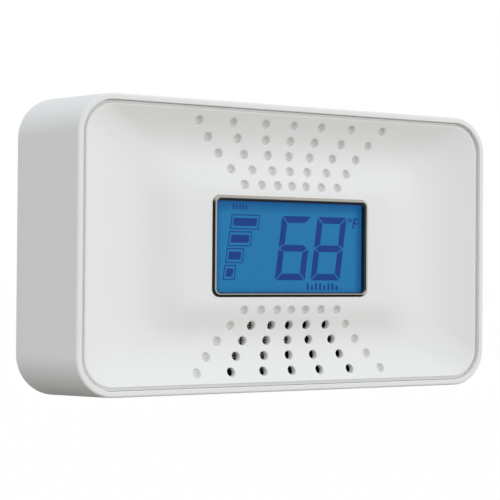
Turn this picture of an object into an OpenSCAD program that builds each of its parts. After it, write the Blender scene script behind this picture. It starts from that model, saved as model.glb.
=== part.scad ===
/* [Housing] */
// Width of the front outline
front_w = 119; // [112:1:130]
// Height of the front outline
front_h = 71; // [69:0.5:76]
// Depth from the front rim to the back
depth = 33; // [32.5:0.5:38]
// How far each side spreads from the front to the back
flare = 1.6; // [0.6:0.1:2]
// Corner radius of the front outline
front_corner_r = 9.5; // [9:0.5:11]
// Corner radius of the back outline
back_corner_r = 10.5; // [9.8:0.1:12]
// Thickness of the side walls
wall = 1.8; // [1.6:0.1:2.2]
// Width of the flat band of the front rim
rim_band = 1.5; // [1.2:0.1:1.6]

/* [Front panel] */
// Gap between the rim and the panel
panel_gap = 0.75; // [0.4:0.05:0.9]
// Thickness of the panel
panel_wall = 1.8; // [1.5:0.1:2]
// Depth of the panel's edge behind the rim
edge_sink = 0.35; // [0.2:0.05:0.6]
// Depth of the valley round the raised middle
valley_sink = 3.95; // [3:0.05:4.2]
// Depth of the raised middle
plateau_sink = 2.0; // [1.6:0.1:2.4]

/* [Perforations] */
// Diameter of a perforation
hole_d = 2.3; // [1.8:0.1:2.5]
// Height of the row nearest to the display, from the middle
row_start = 15.5; // [15:0.1:16]
// Distance between rows
row_step = 3.75; // [3.5:0.05:3.8]
// Pitch along the row nearest to the display
pitch_start = 4.17; // [3.8:0.01:4.4]
// Growth of the pitch from one row to the next
pitch_step = 1.02; // [0.8:0.01:1.1]
// Depth of a blind dimple
dimple_depth = 1.0; // [0.6:0.1:1.2]

/* [Display] */
// Width of the bright trim ring
trim_w = 45.6; // [44:0.1:48]
// Height of the bright trim ring
trim_h = 25.0; // [24:0.1:25.4]
// Width of the ring's band
trim_band = 1.1; // [0.9:0.05:1.4]
// Height of the display's centre above the middle of the front
display_lift = 0.3; // [0:0.1:0.4]

/* [Controls] */
// Length of the test button
button_l = 26; // [20:1:30]
// Width of the test button
button_w = 8; // [6:0.5:8]
// Travel of the test button
button_travel = 0.6; // [0.4:0.1:0.6]
// Travel of the activation slider
slider_travel = 4; // [3:0.5:4]

/* [Wall mounting] */
// Distance between the two keyholes
keyhole_spacing = 76; // [74:1:80]
// Radius of a keyhole's round entry
keyhole_r = 4; // [3.5:0.1:4.2]
// Width of a keyhole's slot
keyhole_slot = 4; // [3.5:0.1:4.2]

/* [Hidden] */
$fn = 48;
back_w = front_w + 2 * flare;
back_h = front_h + 2 * flare;
mid_z = back_h / 2;
front_y = -depth / 2;

// Depths below are measured backwards from the plane of the front rim.
edge_round = 0.6;
ledge_front = 3.6;
ledge_back = 5.2;
ledge_inset = 4;
cover_t = 2;
cover_front = depth - cover_t;
cover_gap = 0.25;
cover_w = back_w - 2 * wall - 2 * cover_gap - 0.1;
cover_h = back_h - 2 * wall - 2 * cover_gap - 0.1;
cover_r = back_corner_r - wall - cover_gap;

// Case screws sit in the four corners.
boss_x = front_w / 2 - 5.5;
boss_z = front_h / 2 - 5.5;
boss_r = 3.4;
boss_front = 6.2;
peg_r = 1.2;
peg_back = 9.8;
case_screw_r = 1.3;
case_pilot_r = 1.1;
case_screw_l = 11;
screw_head_r = 2.3;
screw_head_t = 1.1;

// The panel's outline and the two outlines where its shape turns.
panel_x = front_w / 2 - rim_band - panel_gap;
panel_z = front_h / 2 - rim_band - panel_gap;
panel_r = front_corner_r - rim_band - panel_gap;
valley_x = panel_x - 15.5;
valley_z = panel_z - 10.3;
valley_r = 8;
plateau_x = valley_x - 12.5;
plateau_z = valley_z - 10.1;
plateau_r = 5;
skirt_t = 1.6;
// A step on the panel's edge makes the floor of the groove between the panel and the rim.
groove_floor = 1.3;
step_w = panel_gap - 0.1;
corner_steps = 7;
ring_steps = 7;

// Perforations: rows count outwards from the display, columns outwards from the middle.
rows = [0, 1, 2, 3, 4];
columns = [-3, -2, -1, 0, 1, 2, 3];
pitch_power = 1.08;

// Display stack, front to back.
trim_front = plateau_sink - 0.35;
trim_r = 2;
sleeve_w = trim_w - 0.7;
sleeve_h = trim_h - 0.7;
sleeve_r = 1.7;
view_w = trim_w - 2 * trim_band;
view_h = trim_h - 2 * trim_band;
view_r = 1.0;
glass_w = 48;
glass_h = 26;
rear_glass_h = 23.6;
panel_back = plateau_sink + panel_wall;
window_front = plateau_sink + 0.4;
window_t = 0.8;
film_t = 0.15;
glass_t = 0.55;
front_film_at = panel_back + 0.05;
front_glass_at = front_film_at + film_t;
ink_at = front_glass_at + glass_t;
ink_t = 0.05;
rear_glass_at = ink_at + ink_t;
rear_film_at = rear_glass_at + glass_t;
diffuser_at = rear_film_at + film_t;
diffuser_t = 0.25;
guide_at = diffuser_at + diffuser_t;
guide_t = 2.2;
guide_w = 45.2;
guide_h = 23.2;
reflector_at = guide_at + guide_t;
reflector_t = 0.2;
frame_wall = 0.8;
strip_t = 1.0;
lamp = [1.2, 1.6, 3];

// Main board
board_front = 13.5;
board_t = 1.6;
board_back = board_front + board_t;
board_w = 98;
board_h = 62;
post_x = 44;
post_z = 26;
post_r = 2.6;
board_screw_r = 1.1;
board_screw_l = 8;

// Dust screen, horn and sensor sit behind the open perforations, each against the next.
screen_at = valley_sink + panel_wall;
screen_t = 0.3;
screen_w = 39;
screen_h = 15;
screen_z = -25;
horn_front = screen_at + screen_t;
sensor_front = horn_front;
horn_x = -8.6;
horn_z = -23.3;
horn_r = 9.6;
horn_wall = 1;
piezo_r = 8.2;
piezo_at = 10.4;
sensor_x = 10.8;
sensor_z = -23.3;
sensor_r = 8;
sensor_cap_t = 1.6;

// Battery behind the board
cell_r = 7.25;
cell_l = 50.5;
cell_depth = depth - cover_t - cell_r - 0.75;
cell_z = [-3, 12.2];
cradle_half = 20;
tab_t = 0.4;
tab_w = 4;
connector_x = 33;
connector_z = 4;
lead_gap = 2.5;
lead_r = 0.6;

// Test button and its switch
button_depth = 10.5;
button_top = front_h / 2 + flare * button_depth / depth - 0.15;
button_flange_top = front_h / 2 + flare * (button_depth - button_w / 2 - 0.8) / depth - wall - 0.12;
button_flange_t = 0.9;
button_clear = 0.3;
switch_top = board_h / 2;
plunger_r = 1.5;
plunger_top = switch_top + 1.2;

// Activation switch on the rear cover
slider_x = -36;
slider_z = -15;
slider_size = [6, 4.4];
slider_slot = [slider_size.x + slider_travel + 0.6, slider_size.y + 0.6];

// Rating label on the rear cover
label_w = 46;
label_h = 24;
label_r = 1.5;
label_t = 0.15;
label_recess = 0.2;
label_x = 6;
label_z = -14;

// Keyholes
keyhole_z = 8;
keyhole_rise = 7;

// Printed shapes of the display: two leaning digits, four level bars, a degree ring and an F.
lean = 0.13;
digit_w = 8.8;
digit_h = 15.9;
digit_x = [1.75, 12.3];
digit_z = -0.1;
stroke = 1.7;
stroke_gap = 0.22;
bar_w = 8.25;
bar_h = 3.65;
bar_line = 0.28;
bar_inset = [0.75, 0.87];
bar_left = -16.35;
bar_top_z = 6.1;
bar_step = [-0.65, -4.1, -1.62];
degree_x = 19.05;
degree_z = 7.2;
degree_r = 0.55;
letter_x = 19.8;
letter_w = 1.35;
letter_h = 2.6;
letter_line = 0.5;

function row_z(k) = row_start + row_step * k;
function hole_x(k, j) = sign(j) * (pitch_start + pitch_step * k) * pow(abs(j), pitch_power);
function is_open(k, j, side) = side < 0 && k > 0 && abs(j) < 3;

// Depth of the panel's face on the way from its edge (0) to the valley (1) to the plateau (2).
function face_depth(t) = t < 1
    ? edge_sink + (valley_sink - edge_sink) * sin(90 * t)
    : valley_sink - (valley_sink - plateau_sink) * (1 - cos(180 * (t - 1))) / 2;
function mix(a, b, t) = a + (b - a) * t;
function part_way(a, b, c, t) = t < 1 ? mix(a, b, t) : mix(b, c, t - 1);
function way_at_z(z) = z > valley_z
    ? (panel_z - z) / (panel_z - valley_z)
    : 1 + min(1, (valley_z - z) / (valley_z - plateau_z));

// One rounded-rectangle ring of points, x and z half sizes hx and hz, at depth d.
function ring(hx, hz, r, d) = [
    for (q = [0:3], s = [0:corner_steps])
        let (
            a = 90 * q + 90 * s / corner_steps,
            cx = (q == 0 || q == 3 ? 1 : -1) * (hx - r),
            cz = (q < 2 ? 1 : -1) * (hz - r)
        )
        [cx + r * cos(a), front_y + d, mid_z + cz + r * sin(a)]
];
function face_ring(t, drop) = ring(
    part_way(panel_x, valley_x, plateau_x, t),
    part_way(panel_z, valley_z, plateau_z, t),
    part_way(panel_r, valley_r, plateau_r, t),
    face_depth(t) + drop
);

// ---------- shared shapes ----------

// Extrudes a flat shape, drawn as x and height from the middle, between two depths.
module slab(d0, d1)
{
    translate([0, front_y + d1, mid_z])
        rotate([90, 0, 0])
            linear_extrude(d1 - d0)
                children();
}

module round_rect(w, h, r)
{
    square([w - 2 * r, h], center = true);
    square([w, h - 2 * r], center = true);
    for (x = [-1, 1], y = [-1, 1])
        translate([x * (w / 2 - r), y * (h / 2 - r)])
            circle(r);
}

module slot_shape(l, w)
{
    square([l - w, w], center = true);
    for (x = [-1, 1])
        translate([x * (l - w) / 2, 0])
            circle(d = w);
}

// A cylinder along the depth, at x and height z from the middle.
module rod(x, z, r, d0, d1)
{
    translate([x, front_y + d1, mid_z + z])
        rotate([90, 0, 0])
            cylinder(h = d1 - d0, r = r);
}

// A block given by its middle x and height, its width and height, and its two depths.
module block(x, z, w, h, d0, d1)
{
    translate([x - w / 2, front_y + d0, mid_z + z - h / 2])
        cube([w, d1 - d0, h]);
}

module at_display()
{
    translate([0, 0, display_lift])
        children();
}

module at_corners(x, z)
{
    for (sx = [-1, 1], sz = [-1, 1])
        translate([sx * x, 0, sz * z])
            children();
}

module display_sheet(w, h, r, at, t)
{
    at_display()
        slab(at, at + t)
            round_rect(w, h, r);
}

// ---------- casing ----------

// Thin slice of the drafted outline at one depth, taken in by some amount all round.
module section(inset, d)
{
    share = d / depth;
    slab(d, d + 0.01)
        round_rect(
            front_w + 2 * (flare * share - inset),
            front_h + 2 * (flare * share - inset),
            mix(front_corner_r, back_corner_r, share) - inset
        );
}

// Drafted block between two depths, with its front edge eased.
module tapered_form(inset, d0, d1, ease)
{
    hull() {
        section(inset + ease, d0);
        section(inset, d0 + ease);
        section(inset, d1 - 0.01);
    }
}

module button_hole()
{
    translate([0, front_y + button_depth, mid_z + front_h / 2 - wall - 1])
        linear_extrude(wall + 3)
            slot_shape(button_l + 2 * button_clear, button_w + 2 * button_clear);
}

module housing()
{
    color("whitesmoke")
        difference() {
            union() {
                difference() {
                    tapered_form(0, 0, depth, edge_round);
                    tapered_form(wall, ledge_back, depth + 1, 0);
                }
                at_corners(boss_x, boss_z)
                    rod(0, 0, boss_r, boss_front, cover_front);
            }
            slab(-1, ledge_front)
                round_rect(front_w - 2 * rim_band, front_h - 2 * rim_band, front_corner_r - rim_band);
            slab(ledge_front - 1, ledge_back + 0.5)
                round_rect(
                    front_w - 2 * ledge_inset, front_h - 2 * ledge_inset, front_corner_r - ledge_inset
                );
            at_corners(boss_x, boss_z) {
                rod(0, 0, peg_r + 0.15, ledge_front - 1, peg_back + 0.6);
                rod(0, 0, case_pilot_r, cover_front - case_screw_l - 1, cover_front + 1);
            }
            button_hole();
        }
}

// The dished panel as one closed skin: rings over the face, then back under it.
module panel_skin()
{
    edge_share = 0.04;
    skirt_share = skirt_t / (panel_z - valley_z);
    over = [for (i = [0:2 * ring_steps]) edge_share + (2 - edge_share) * i / (2 * ring_steps)];
    under = [for (i = [0:2 * ring_steps]) 2 - (2 - skirt_share) * i / (2 * ring_steps)];
    skirt_x = part_way(panel_x, valley_x, plateau_x, skirt_share);
    skirt_z = part_way(panel_z, valley_z, plateau_z, skirt_share);
    skirt_r = part_way(panel_r, valley_r, plateau_r, skirt_share);
    rings = concat(
        [
            ring(panel_x + step_w, panel_z + step_w, panel_r + step_w, groove_floor),
            ring(panel_x, panel_z, panel_r, groove_floor),
            ring(panel_x, panel_z, panel_r, edge_sink + 0.5)
        ],
        [for (t = over) face_ring(t, 0)],
        [for (t = under) face_ring(t, panel_wall)],
        [ring(skirt_x, skirt_z, skirt_r, ledge_front)],
        [ring(panel_x + step_w, panel_z + step_w, panel_r + step_w, ledge_front)]
    );
    n = len(rings[0]);
    m = len(rings);
    top = len(over) + 2;
    points = [for (r = rings, p = r) p];
    faces = concat(
        [
            for (i = [0:m - 1], j = [0:n - 1])
                if (i != top)
                    let (a = i, b = (i + 1) % m, k = (j + 1) % n)
                    [a * n + j, b * n + j, b * n + k, a * n + k]
        ],
        [[for (j = [0:n - 1]) top * n + j]],
        [[for (j = [n - 1:-1:0]) (top + 1) * n + j]]
    );
    polyhedron(points, faces, convexity = 6);
}

module perforations()
{
    for (k = rows, j = columns, side = [-1, 1])
        let (z = row_z(k), face = face_depth(way_at_z(z)))
        rod(
            hole_x(k, j), side * z, hole_d / 2, face - 2,
            is_open(k, j, side) ? face + panel_wall + 1.5 : face + dimple_depth
        );
}

module front_panel()
{
    color("white")
        difference() {
            union() {
                panel_skin();
                at_corners(boss_x, boss_z)
                    rod(0, 0, peg_r, edge_sink + 1.6, peg_back);
            }
            at_display()
                slab(-1, 8)
                    round_rect(sleeve_w + 0.1, sleeve_h + 0.1, sleeve_r + 0.05);
            perforations();
        }
}

module keyhole_shape()
{
    circle(keyhole_r);
    translate([-keyhole_slot / 2, 0])
        square([keyhole_slot, keyhole_rise]);
    translate([0, keyhole_rise])
        circle(d = keyhole_slot);
}

module rear_cover()
{
    color("whitesmoke")
        difference() {
            union() {
                slab(cover_front, depth)
                    round_rect(cover_w, cover_h, cover_r);
                at_corners(post_x, post_z)
                    rod(0, 0, post_r, board_back, cover_front);
            }
            slab(cover_front - 1, depth + 1)
                for (x = [-1, 1])
                    translate([x * keyhole_spacing / 2, keyhole_z])
                        keyhole_shape();
            slab(cover_front - 1, depth + 1)
                translate([slider_x, slider_z])
                    square(slider_slot, center = true);
            at_corners(boss_x, boss_z) {
                rod(0, 0, case_screw_r + 0.2, cover_front - 1, depth + 1);
                rod(0, 0, screw_head_r + 0.3, depth - screw_head_t, depth + 1);
            }
            at_corners(post_x, post_z)
                rod(0, 0, board_screw_r - 0.2, board_back - 1, board_back + board_screw_l);
            slab(depth - label_recess, depth + 1)
                translate([label_x, label_z])
                    round_rect(label_w + 0.6, label_h + 0.6, label_r + 0.3);
        }
}

module rating_label()
{
    color("silver")
        slab(depth - label_recess, depth - label_recess + label_t)
            translate([label_x, label_z])
                round_rect(label_w, label_h, label_r);
}

// ---------- display ----------

module display_bezel()
{
    color("silver")
        at_display()
            difference() {
                union() {
                    slab(trim_front, trim_front + 0.12)
                        round_rect(trim_w - 0.4, trim_h - 0.4, trim_r - 0.2);
                    slab(trim_front + 0.12, plateau_sink)
                        round_rect(trim_w, trim_h, trim_r);
                }
                slab(trim_front - 1, plateau_sink + 1)
                    round_rect(view_w, view_h, view_r);
            }
}

module display_shroud()
{
    color("black")
        at_display()
            difference() {
                slab(plateau_sink, panel_back)
                    round_rect(sleeve_w, sleeve_h, sleeve_r);
                slab(plateau_sink - 1, panel_back + 1)
                    round_rect(view_w, view_h, view_r);
            }
}

module display_window()
{
    color("lightcyan", 0.4)
        display_sheet(view_w - 0.1, view_h - 0.1, view_r - 0.05, window_front, window_t);
}

module front_polariser()
{
    color("dimgray")
        display_sheet(glass_w - 1, rear_glass_h, 0.3, front_film_at, film_t);
}

module front_glass()
{
    color("lightblue", 0.5)
        display_sheet(glass_w, glass_h, 0.2, front_glass_at, glass_t);
}

// Leans whatever is drawn on it, like the display's digits.
module leaning(x, z)
{
    translate([x, z])
        multmatrix([[1, lean, 0, 0], [0, 1, 0, 0], [0, 0, 1, 0], [0, 0, 0, 1]])
            children();
}

// Seven-segment digit: top, upper right, lower right, bottom, lower left, upper left, middle.
module digit(x, lit)
{
    w = digit_w / 2;
    h = digit_h / 2;
    t = stroke;
    g = stroke_gap;
    leaning(x, digit_z) {
        for (s = [-1, 1]) {
            if (lit[s > 0 ? 0 : 3])
                polygon([
                    [-w + g, s * h], [w - g, s * h],
                    [w - t - g, s * (h - t)], [-w + t + g, s * (h - t)]
                ]);
            if (lit[s > 0 ? 1 : 2])
                polygon([
                    [w, s * (h - g)], [w, s * g],
                    [w - t, s * (t / 2 + g)], [w - t, s * (h - t - g)]
                ]);
            if (lit[s > 0 ? 5 : 4])
                polygon([
                    [-w, s * (h - g)], [-w, s * g],
                    [t - w, s * (t / 2 + g)], [t - w, s * (h - t - g)]
                ]);
        }
        if (lit[6])
            polygon([
                [-w + 2 * g, 0], [-w + t, t / 2], [w - t, t / 2],
                [w - 2 * g, 0], [w - t, -t / 2], [-w + t, -t / 2]
            ]);
    }
}

// Level bar number i from the top: a thin outline with a filled middle.
module level_bar(i)
{
    w = bar_w + bar_step[2] * i;
    leaning(bar_left + bar_step[0] * i + w / 2, bar_top_z + bar_step[1] * i) {
        difference() {
            square([w, bar_h], center = true);
            square([w - 2 * bar_line, bar_h - 2 * bar_line], center = true);
        }
        square([w - 2 * bar_inset.x, bar_h - 2 * bar_inset.y], center = true);
    }
}

module degree_mark()
{
    translate([degree_x, degree_z])
        difference() {
            circle(degree_r);
            circle(degree_r / 2);
        }
    leaning(letter_x + letter_w / 2, degree_z + degree_r - letter_h / 2) {
        translate([-letter_w / 2, -letter_h / 2])
            square([letter_line, letter_h]);
        for (z = [letter_h / 2 - letter_line, 0])
            translate([-letter_w / 2, z])
                square([letter_w, letter_line]);
    }
}

module display_segments()
{
    color("navy")
        at_display()
            slab(ink_at, ink_at + ink_t) {
                digit(digit_x[0], [1, 0, 1, 1, 1, 1, 1]);
                digit(digit_x[1], [1, 1, 1, 1, 1, 1, 1]);
                for (i = [0:3])
                    level_bar(i);
                degree_mark();
            }
}

module rear_glass()
{
    color("lightblue", 0.5)
        display_sheet(glass_w, rear_glass_h, 0.2, rear_glass_at, glass_t);
}

module rear_polariser()
{
    color("steelblue")
        display_sheet(glass_w - 1, rear_glass_h - 0.2, 0.3, rear_film_at, film_t);
}

module diffuser()
{
    color("white")
        display_sheet(guide_w, guide_h, 0.3, diffuser_at, diffuser_t);
}

module light_guide()
{
    color("lightskyblue")
        display_sheet(guide_w, guide_h, 0.3, guide_at, guide_t);
}

module reflector()
{
    color("white")
        display_sheet(guide_w, guide_h, 0.3, reflector_at, reflector_t);
}

module backlight_lamps()
{
    color("deepskyblue")
        at_display()
            for (z = [-6, 0, 6])
                block(
                    guide_w / 2 + 0.1 + lamp.x / 2, z, lamp.x, lamp.z,
                    guide_at + 0.3, guide_at + 0.3 + lamp.y
                );
}

// Open box that carries the glass and the light guide in front of the board.
module display_frame()
{
    outer_w = glass_w + 0.2 + 2 * frame_wall;
    outer_h = glass_h + 0.2 + 2 * frame_wall;
    color("ivory")
        at_display()
            difference() {
                slab(front_glass_at, board_front)
                    square([outer_w, outer_h], center = true);
                slab(front_glass_at - 1, reflector_at)
                    square([glass_w + 0.2, glass_h + 0.2], center = true);
                for (z = [-1, 1])
                    block(0, z * (glass_h / 2 - strip_t / 2), glass_w - 2, strip_t + 0.1, 0, board_front + 1);
                slab(reflector_at - 1, reflector_at + reflector_t)
                    square([guide_w + 0.2, guide_h + 0.2], center = true);
                slab(reflector_at + 1.2, board_front + 1)
                    square([glass_w - 4, glass_h - 5], center = true);
            }
}

module contact_strips()
{
    color("hotpink")
        at_display()
            for (z = [-1, 1])
                block(
                    0, z * (glass_h / 2 - strip_t / 2), glass_w - 2.4, strip_t - 0.1,
                    ink_at, board_front
                );
}

// ---------- gas sensor and horn ----------

module dust_screen()
{
    color([0.1, 0.1, 0.1])
        slab(screen_at, screen_at + screen_t)
            translate([0, screen_z])
                round_rect(screen_w, screen_h, 1);
}

module co_sensor()
{
    color("silver")
        difference() {
            rod(sensor_x, sensor_z, sensor_r, sensor_front + sensor_cap_t, board_front);
            rod(sensor_x, sensor_z, 1.5, sensor_front, sensor_front + sensor_cap_t + 0.8);
        }
}

module sensor_cap()
{
    color("dimgray")
        difference() {
            rod(sensor_x, sensor_z, sensor_r + 0.3, sensor_front, sensor_front + sensor_cap_t + 2);
            rod(sensor_x, sensor_z, sensor_r, sensor_front + sensor_cap_t, board_front);
            rod(sensor_x, sensor_z, 3, sensor_front - 1, sensor_front + sensor_cap_t + 1);
        }
}

module sensor_pins()
{
    color("gold")
        for (x = [-4, 0, 4])
            rod(sensor_x + x, sensor_z, 0.5, board_front, board_back + 1.2);
}

module horn_cup()
{
    color("ivory")
        difference() {
            rod(horn_x, horn_z, horn_r, horn_front, board_front);
            rod(horn_x, horn_z, piezo_r + 0.1, piezo_at, board_front + 1);
            rod(horn_x, horn_z, piezo_r - 0.9, horn_front + horn_wall, piezo_at + 1);
            rod(horn_x, horn_z, 3, horn_front - 1, horn_front + horn_wall + 1);
        }
}

module piezo_disc()
{
    color("goldenrod")
        union() {
            rod(horn_x, horn_z, piezo_r, piezo_at, piezo_at + 0.25);
            rod(horn_x, horn_z, piezo_r - 1.8, piezo_at + 0.25, piezo_at + 0.45);
        }
}

module horn_contacts()
{
    color("gold")
        for (p = [[0, 2.5, 0.45], [0, -2.5, 0.45], [7.3, 0, 0.25]])
            rod(horn_x + p.x, horn_z + p.y, 0.5, piezo_at + p.z, board_front);
}

// ---------- main board ----------

module main_board()
{
    color("darkgreen")
        difference() {
            slab(board_front, board_back)
                round_rect(board_w, board_h, 2);
            at_corners(post_x, post_z)
                rod(0, 0, board_screw_r + 0.2, board_front - 1, board_back + 1);
            for (x = [-4, 0, 4])
                rod(sensor_x + x, sensor_z, 0.55, board_front - 1, board_back + 1);
            for (x = [-1, 1])
                rod(connector_x + x * lead_gap / 2, connector_z, 0.45, board_front - 1, board_back + 1);
        }
}

// Chip package with its legs along two sides.
module chip(x, z, size, t, legs)
{
    pitch = (size - 1) / legs;
    union() {
        block(x, z, size, size, board_front - t, board_front - 0.1);
        for (s = [-1, 1], i = [0:legs - 1])
            block(
                x + s * (size / 2 + 0.5), z + (i - (legs - 1) / 2) * pitch, 1.4, pitch * 0.45,
                board_front - 0.45, board_front
            );
    }
}

module microcontroller()
{
    color([0.12, 0.12, 0.13])
        chip(-36, -4, 10, 1.5, 12);
}

module sensor_amplifier()
{
    color([0.12, 0.12, 0.13])
        chip(27, -20, 4.5, 1.3, 4);
}

module crystal()
{
    color("silver")
        block(-36, 8, 7.5, 3.2, board_front - 2.8, board_front);
}

module capacitors()
{
    color("slategray")
        for (p = [[-36, -21, 3.2], [36, -8, 3.2], [36, 13, 2.5]])
            rod(p.x, p.y, p.z, board_front - 6.5, board_front);
}

module resistors()
{
    color([0.15, 0.15, 0.15])
        for (i = [0:5], s = [-1, 1])
            block(s * 46, -14 + 4 * i, 2, 1.25, board_front - 0.55, board_front);
}

module horn_coil()
{
    color("saddlebrown")
        difference() {
            union() {
                rod(-25, -22, 3, board_front - 5.6, board_front);
                for (d = [board_front - 6.6, board_front - 1])
                    rod(-25, -22, 4, d, d + 1);
            }
            rod(-25, -22, 1, board_front - 7, board_front - 2);
        }
}

module battery_connector()
{
    color("ivory")
        difference() {
            block(connector_x, connector_z, 7.4, 4.8, board_back, board_back + 6);
            block(connector_x, connector_z, 5.8, 3.2, board_back + 1.4, board_back + 7);
        }
}

// ---------- battery ----------

// Sealed lithium cell lying along the width, its raised pole at the right (1) or the left (-1).
module cell(z, pole)
{
    pole_h = 1.2;
    color("royalblue")
        translate([0, front_y + cell_depth, mid_z + z])
            rotate([0, pole * 90, 0])
                union() {
                    translate([0, 0, -cell_l / 2])
                        cylinder(h = cell_l - pole_h, r = cell_r);
                    translate([0, 0, cell_l / 2 - pole_h])
                        cylinder(h = pole_h, r = 2.6);
                }
}

module battery_upper()
{
    cell(cell_z[1], 1);
}

module battery_lower()
{
    cell(cell_z[0], -1);
}

// Welded strips: one joins the cells at the left, and each cell has its own at the right.
module battery_tabs()
{
    span = cell_z[1] - cell_z[0] + 5;
    middle = (cell_z[0] + cell_z[1]) / 2;
    end = cell_l / 2 + tab_t / 2;
    color("lightgray") {
        block(-end, middle, tab_t, span, cell_depth - tab_w / 2, cell_depth + tab_w / 2);
        for (z = cell_z)
            block(end, z, tab_t, 5, cell_depth - tab_w / 2, cell_depth + tab_w / 2);
    }
}

// Ribbed tray on the rear cover that the two cells lie in.
module battery_cradle()
{
    middle = (cell_z[0] + cell_z[1]) / 2;
    span = cell_z[1] - cell_z[0] + 2 * cell_r + 3;
    color("gainsboro")
        difference() {
            union() {
                block(0, middle, 2 * cradle_half, span, cover_front - 0.6, cover_front);
                for (x = [-cradle_half + 1, 0, cradle_half - 1])
                    block(x, middle, 2, span, cell_depth, cover_front);
            }
            for (z = cell_z)
                translate([-cell_l / 2 - 1, front_y + cell_depth, mid_z + z])
                    rotate([0, 90, 0])
                        cylinder(h = cell_l + 2, r = cell_r + 0.1);
        }
}

// Round lead through a list of points, each [x, height from the middle, depth].
module lead(points)
{
    at = [for (p = points) [p.x, front_y + p.z, mid_z + p.y]];
    for (i = [0:len(at) - 2])
        let (step = at[i + 1] - at[i], run = norm(step))
        translate(at[i])
            rotate([0, acos(step.z / run), atan2(step.y, step.x)])
                cylinder(h = run, r = lead_r);
    for (i = [1:len(at) - 2])
        translate(at[i])
            sphere(lead_r);
}

// Two insulated leads from the right-hand tabs to the connector.
module battery_leads()
{
    start = cell_l / 2 + tab_t;
    color("firebrick")
        for (i = [0, 1])
            let (x = connector_x + (i - 0.5) * lead_gap, turn = start + 2 + 2 * i)
            lead([
                [start, cell_z[i], cell_depth],
                [turn, cell_z[i], cell_depth],
                [turn, connector_z, cell_depth],
                [x, connector_z, cell_depth],
                [x, connector_z, board_back + 1.6]
            ]);
}

// ---------- controls ----------

module test_switch()
{
    color([0.15, 0.15, 0.16])
        difference() {
            block(0, switch_top - 2.2, 6, 4.4, board_front - 5, board_front);
            translate([0, front_y + button_depth, mid_z + switch_top - button_travel - 1.4])
                cylinder(h = button_travel + 2.4, r = plunger_r + 0.15);
        }
}

module switch_plunger()
{
    color("ivory")
        translate([0, front_y + button_depth, mid_z + switch_top - 1])
            cylinder(h = plunger_top - switch_top + 1, r = plunger_r);
}

module test_button()
{
    color("whitesmoke")
        translate([0, front_y + button_depth, mid_z]) {
            translate([0, 0, button_flange_top - button_flange_t])
                linear_extrude(button_flange_t)
                    slot_shape(button_l + 2.6, button_w + 1.6);
            translate([0, 0, button_flange_top - 0.1])
                linear_extrude(button_top - button_flange_top + 0.1)
                    slot_shape(button_l, button_w);
            translate([0, 0, plunger_top + 0.1])
                cylinder(h = button_flange_top - plunger_top - 0.2, r = 1.8);
        }
}

module activation_switch()
{
    body_w = slider_slot.x + 5;
    color([0.15, 0.15, 0.16])
        difference() {
            block(slider_x, slider_z, body_w, 8, cover_front - 5, cover_front);
            block(slider_x, slider_z, slider_slot.x, slider_slot.y, cover_front - 3.4, depth);
        }
}

module activation_slider()
{
    color("orangered")
        difference() {
            block(
                slider_x - slider_travel / 2, slider_z, slider_size.x, slider_size.y,
                cover_front - 3.1, depth - 0.4
            );
            for (i = [-1, 0, 1])
                block(
                    slider_x - slider_travel / 2 + i * 1.6, slider_z, 0.6, slider_size.y + 1,
                    depth - 0.8, depth
                );
        }
}

module switch_leads()
{
    color("black")
        for (x = [-3, 3])
            rod(slider_x + x, slider_z, lead_r, board_back, cover_front - 5);
}

// ---------- fasteners ----------

// Pan-head screw with a cross recess: head side first, pointing to lower depths when dir is -1.
module screw(x, z, head_at, dir, shank_r, length)
{
    tip = head_at + dir * length;
    top = head_at - dir * screw_head_t;
    difference() {
        union() {
            rod(x, z, shank_r, min(head_at, tip), max(head_at, tip));
            rod(x, z, screw_head_r, min(head_at, top), max(head_at, top));
        }
        for (s = [[2.6, 0.6], [0.6, 2.6]])
            block(x, z, s.x, s.y, top - 0.6, top + 0.6);
    }
}

module case_screws()
{
    color("silver")
        for (x = [-boss_x, boss_x], z = [-boss_z, boss_z])
            screw(x, z, depth - screw_head_t, -1, case_pilot_r - 0.02, case_screw_l);
}

module board_screws()
{
    color("silver")
        for (x = [-post_x, post_x], z = [-post_z, post_z])
            screw(x, z, board_front, 1, board_screw_r - 0.22, board_t + board_screw_l - 1);
}

housing();
front_panel();
rear_cover();
display_bezel();
display_shroud();
display_window();
front_polariser();
front_glass();
display_segments();
rear_glass();
rear_polariser();
diffuser();
light_guide();
reflector();
backlight_lamps();
display_frame();
contact_strips();
dust_screen();
main_board();
microcontroller();
sensor_amplifier();
crystal();
capacitors();
resistors();
horn_coil();
horn_cup();
piezo_disc();
horn_contacts();
co_sensor();
sensor_cap();
sensor_pins();
battery_upper();
battery_lower();
battery_tabs();
battery_cradle();
battery_connector();
battery_leads();
test_switch();
switch_plunger();
test_button();
activation_switch();
activation_slider();
switch_leads();
case_screws();
board_screws();
rating_label();
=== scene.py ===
"""Battery carbon monoxide alarm with a dished grille panel, a lit blue display and a plated trim ring.

The file goes through the alarm as it is put together: housing, grille panel, display, gas side, board,
battery, controls, rear cover, fasteners, and last the studio round it. Sizes are millimetres times mm.
"""

import math

import bmesh
import bpy
import numpy as np
from mathutils import Matrix, Vector
from mathutils.geometry import delaunay_2d_cdt


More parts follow.
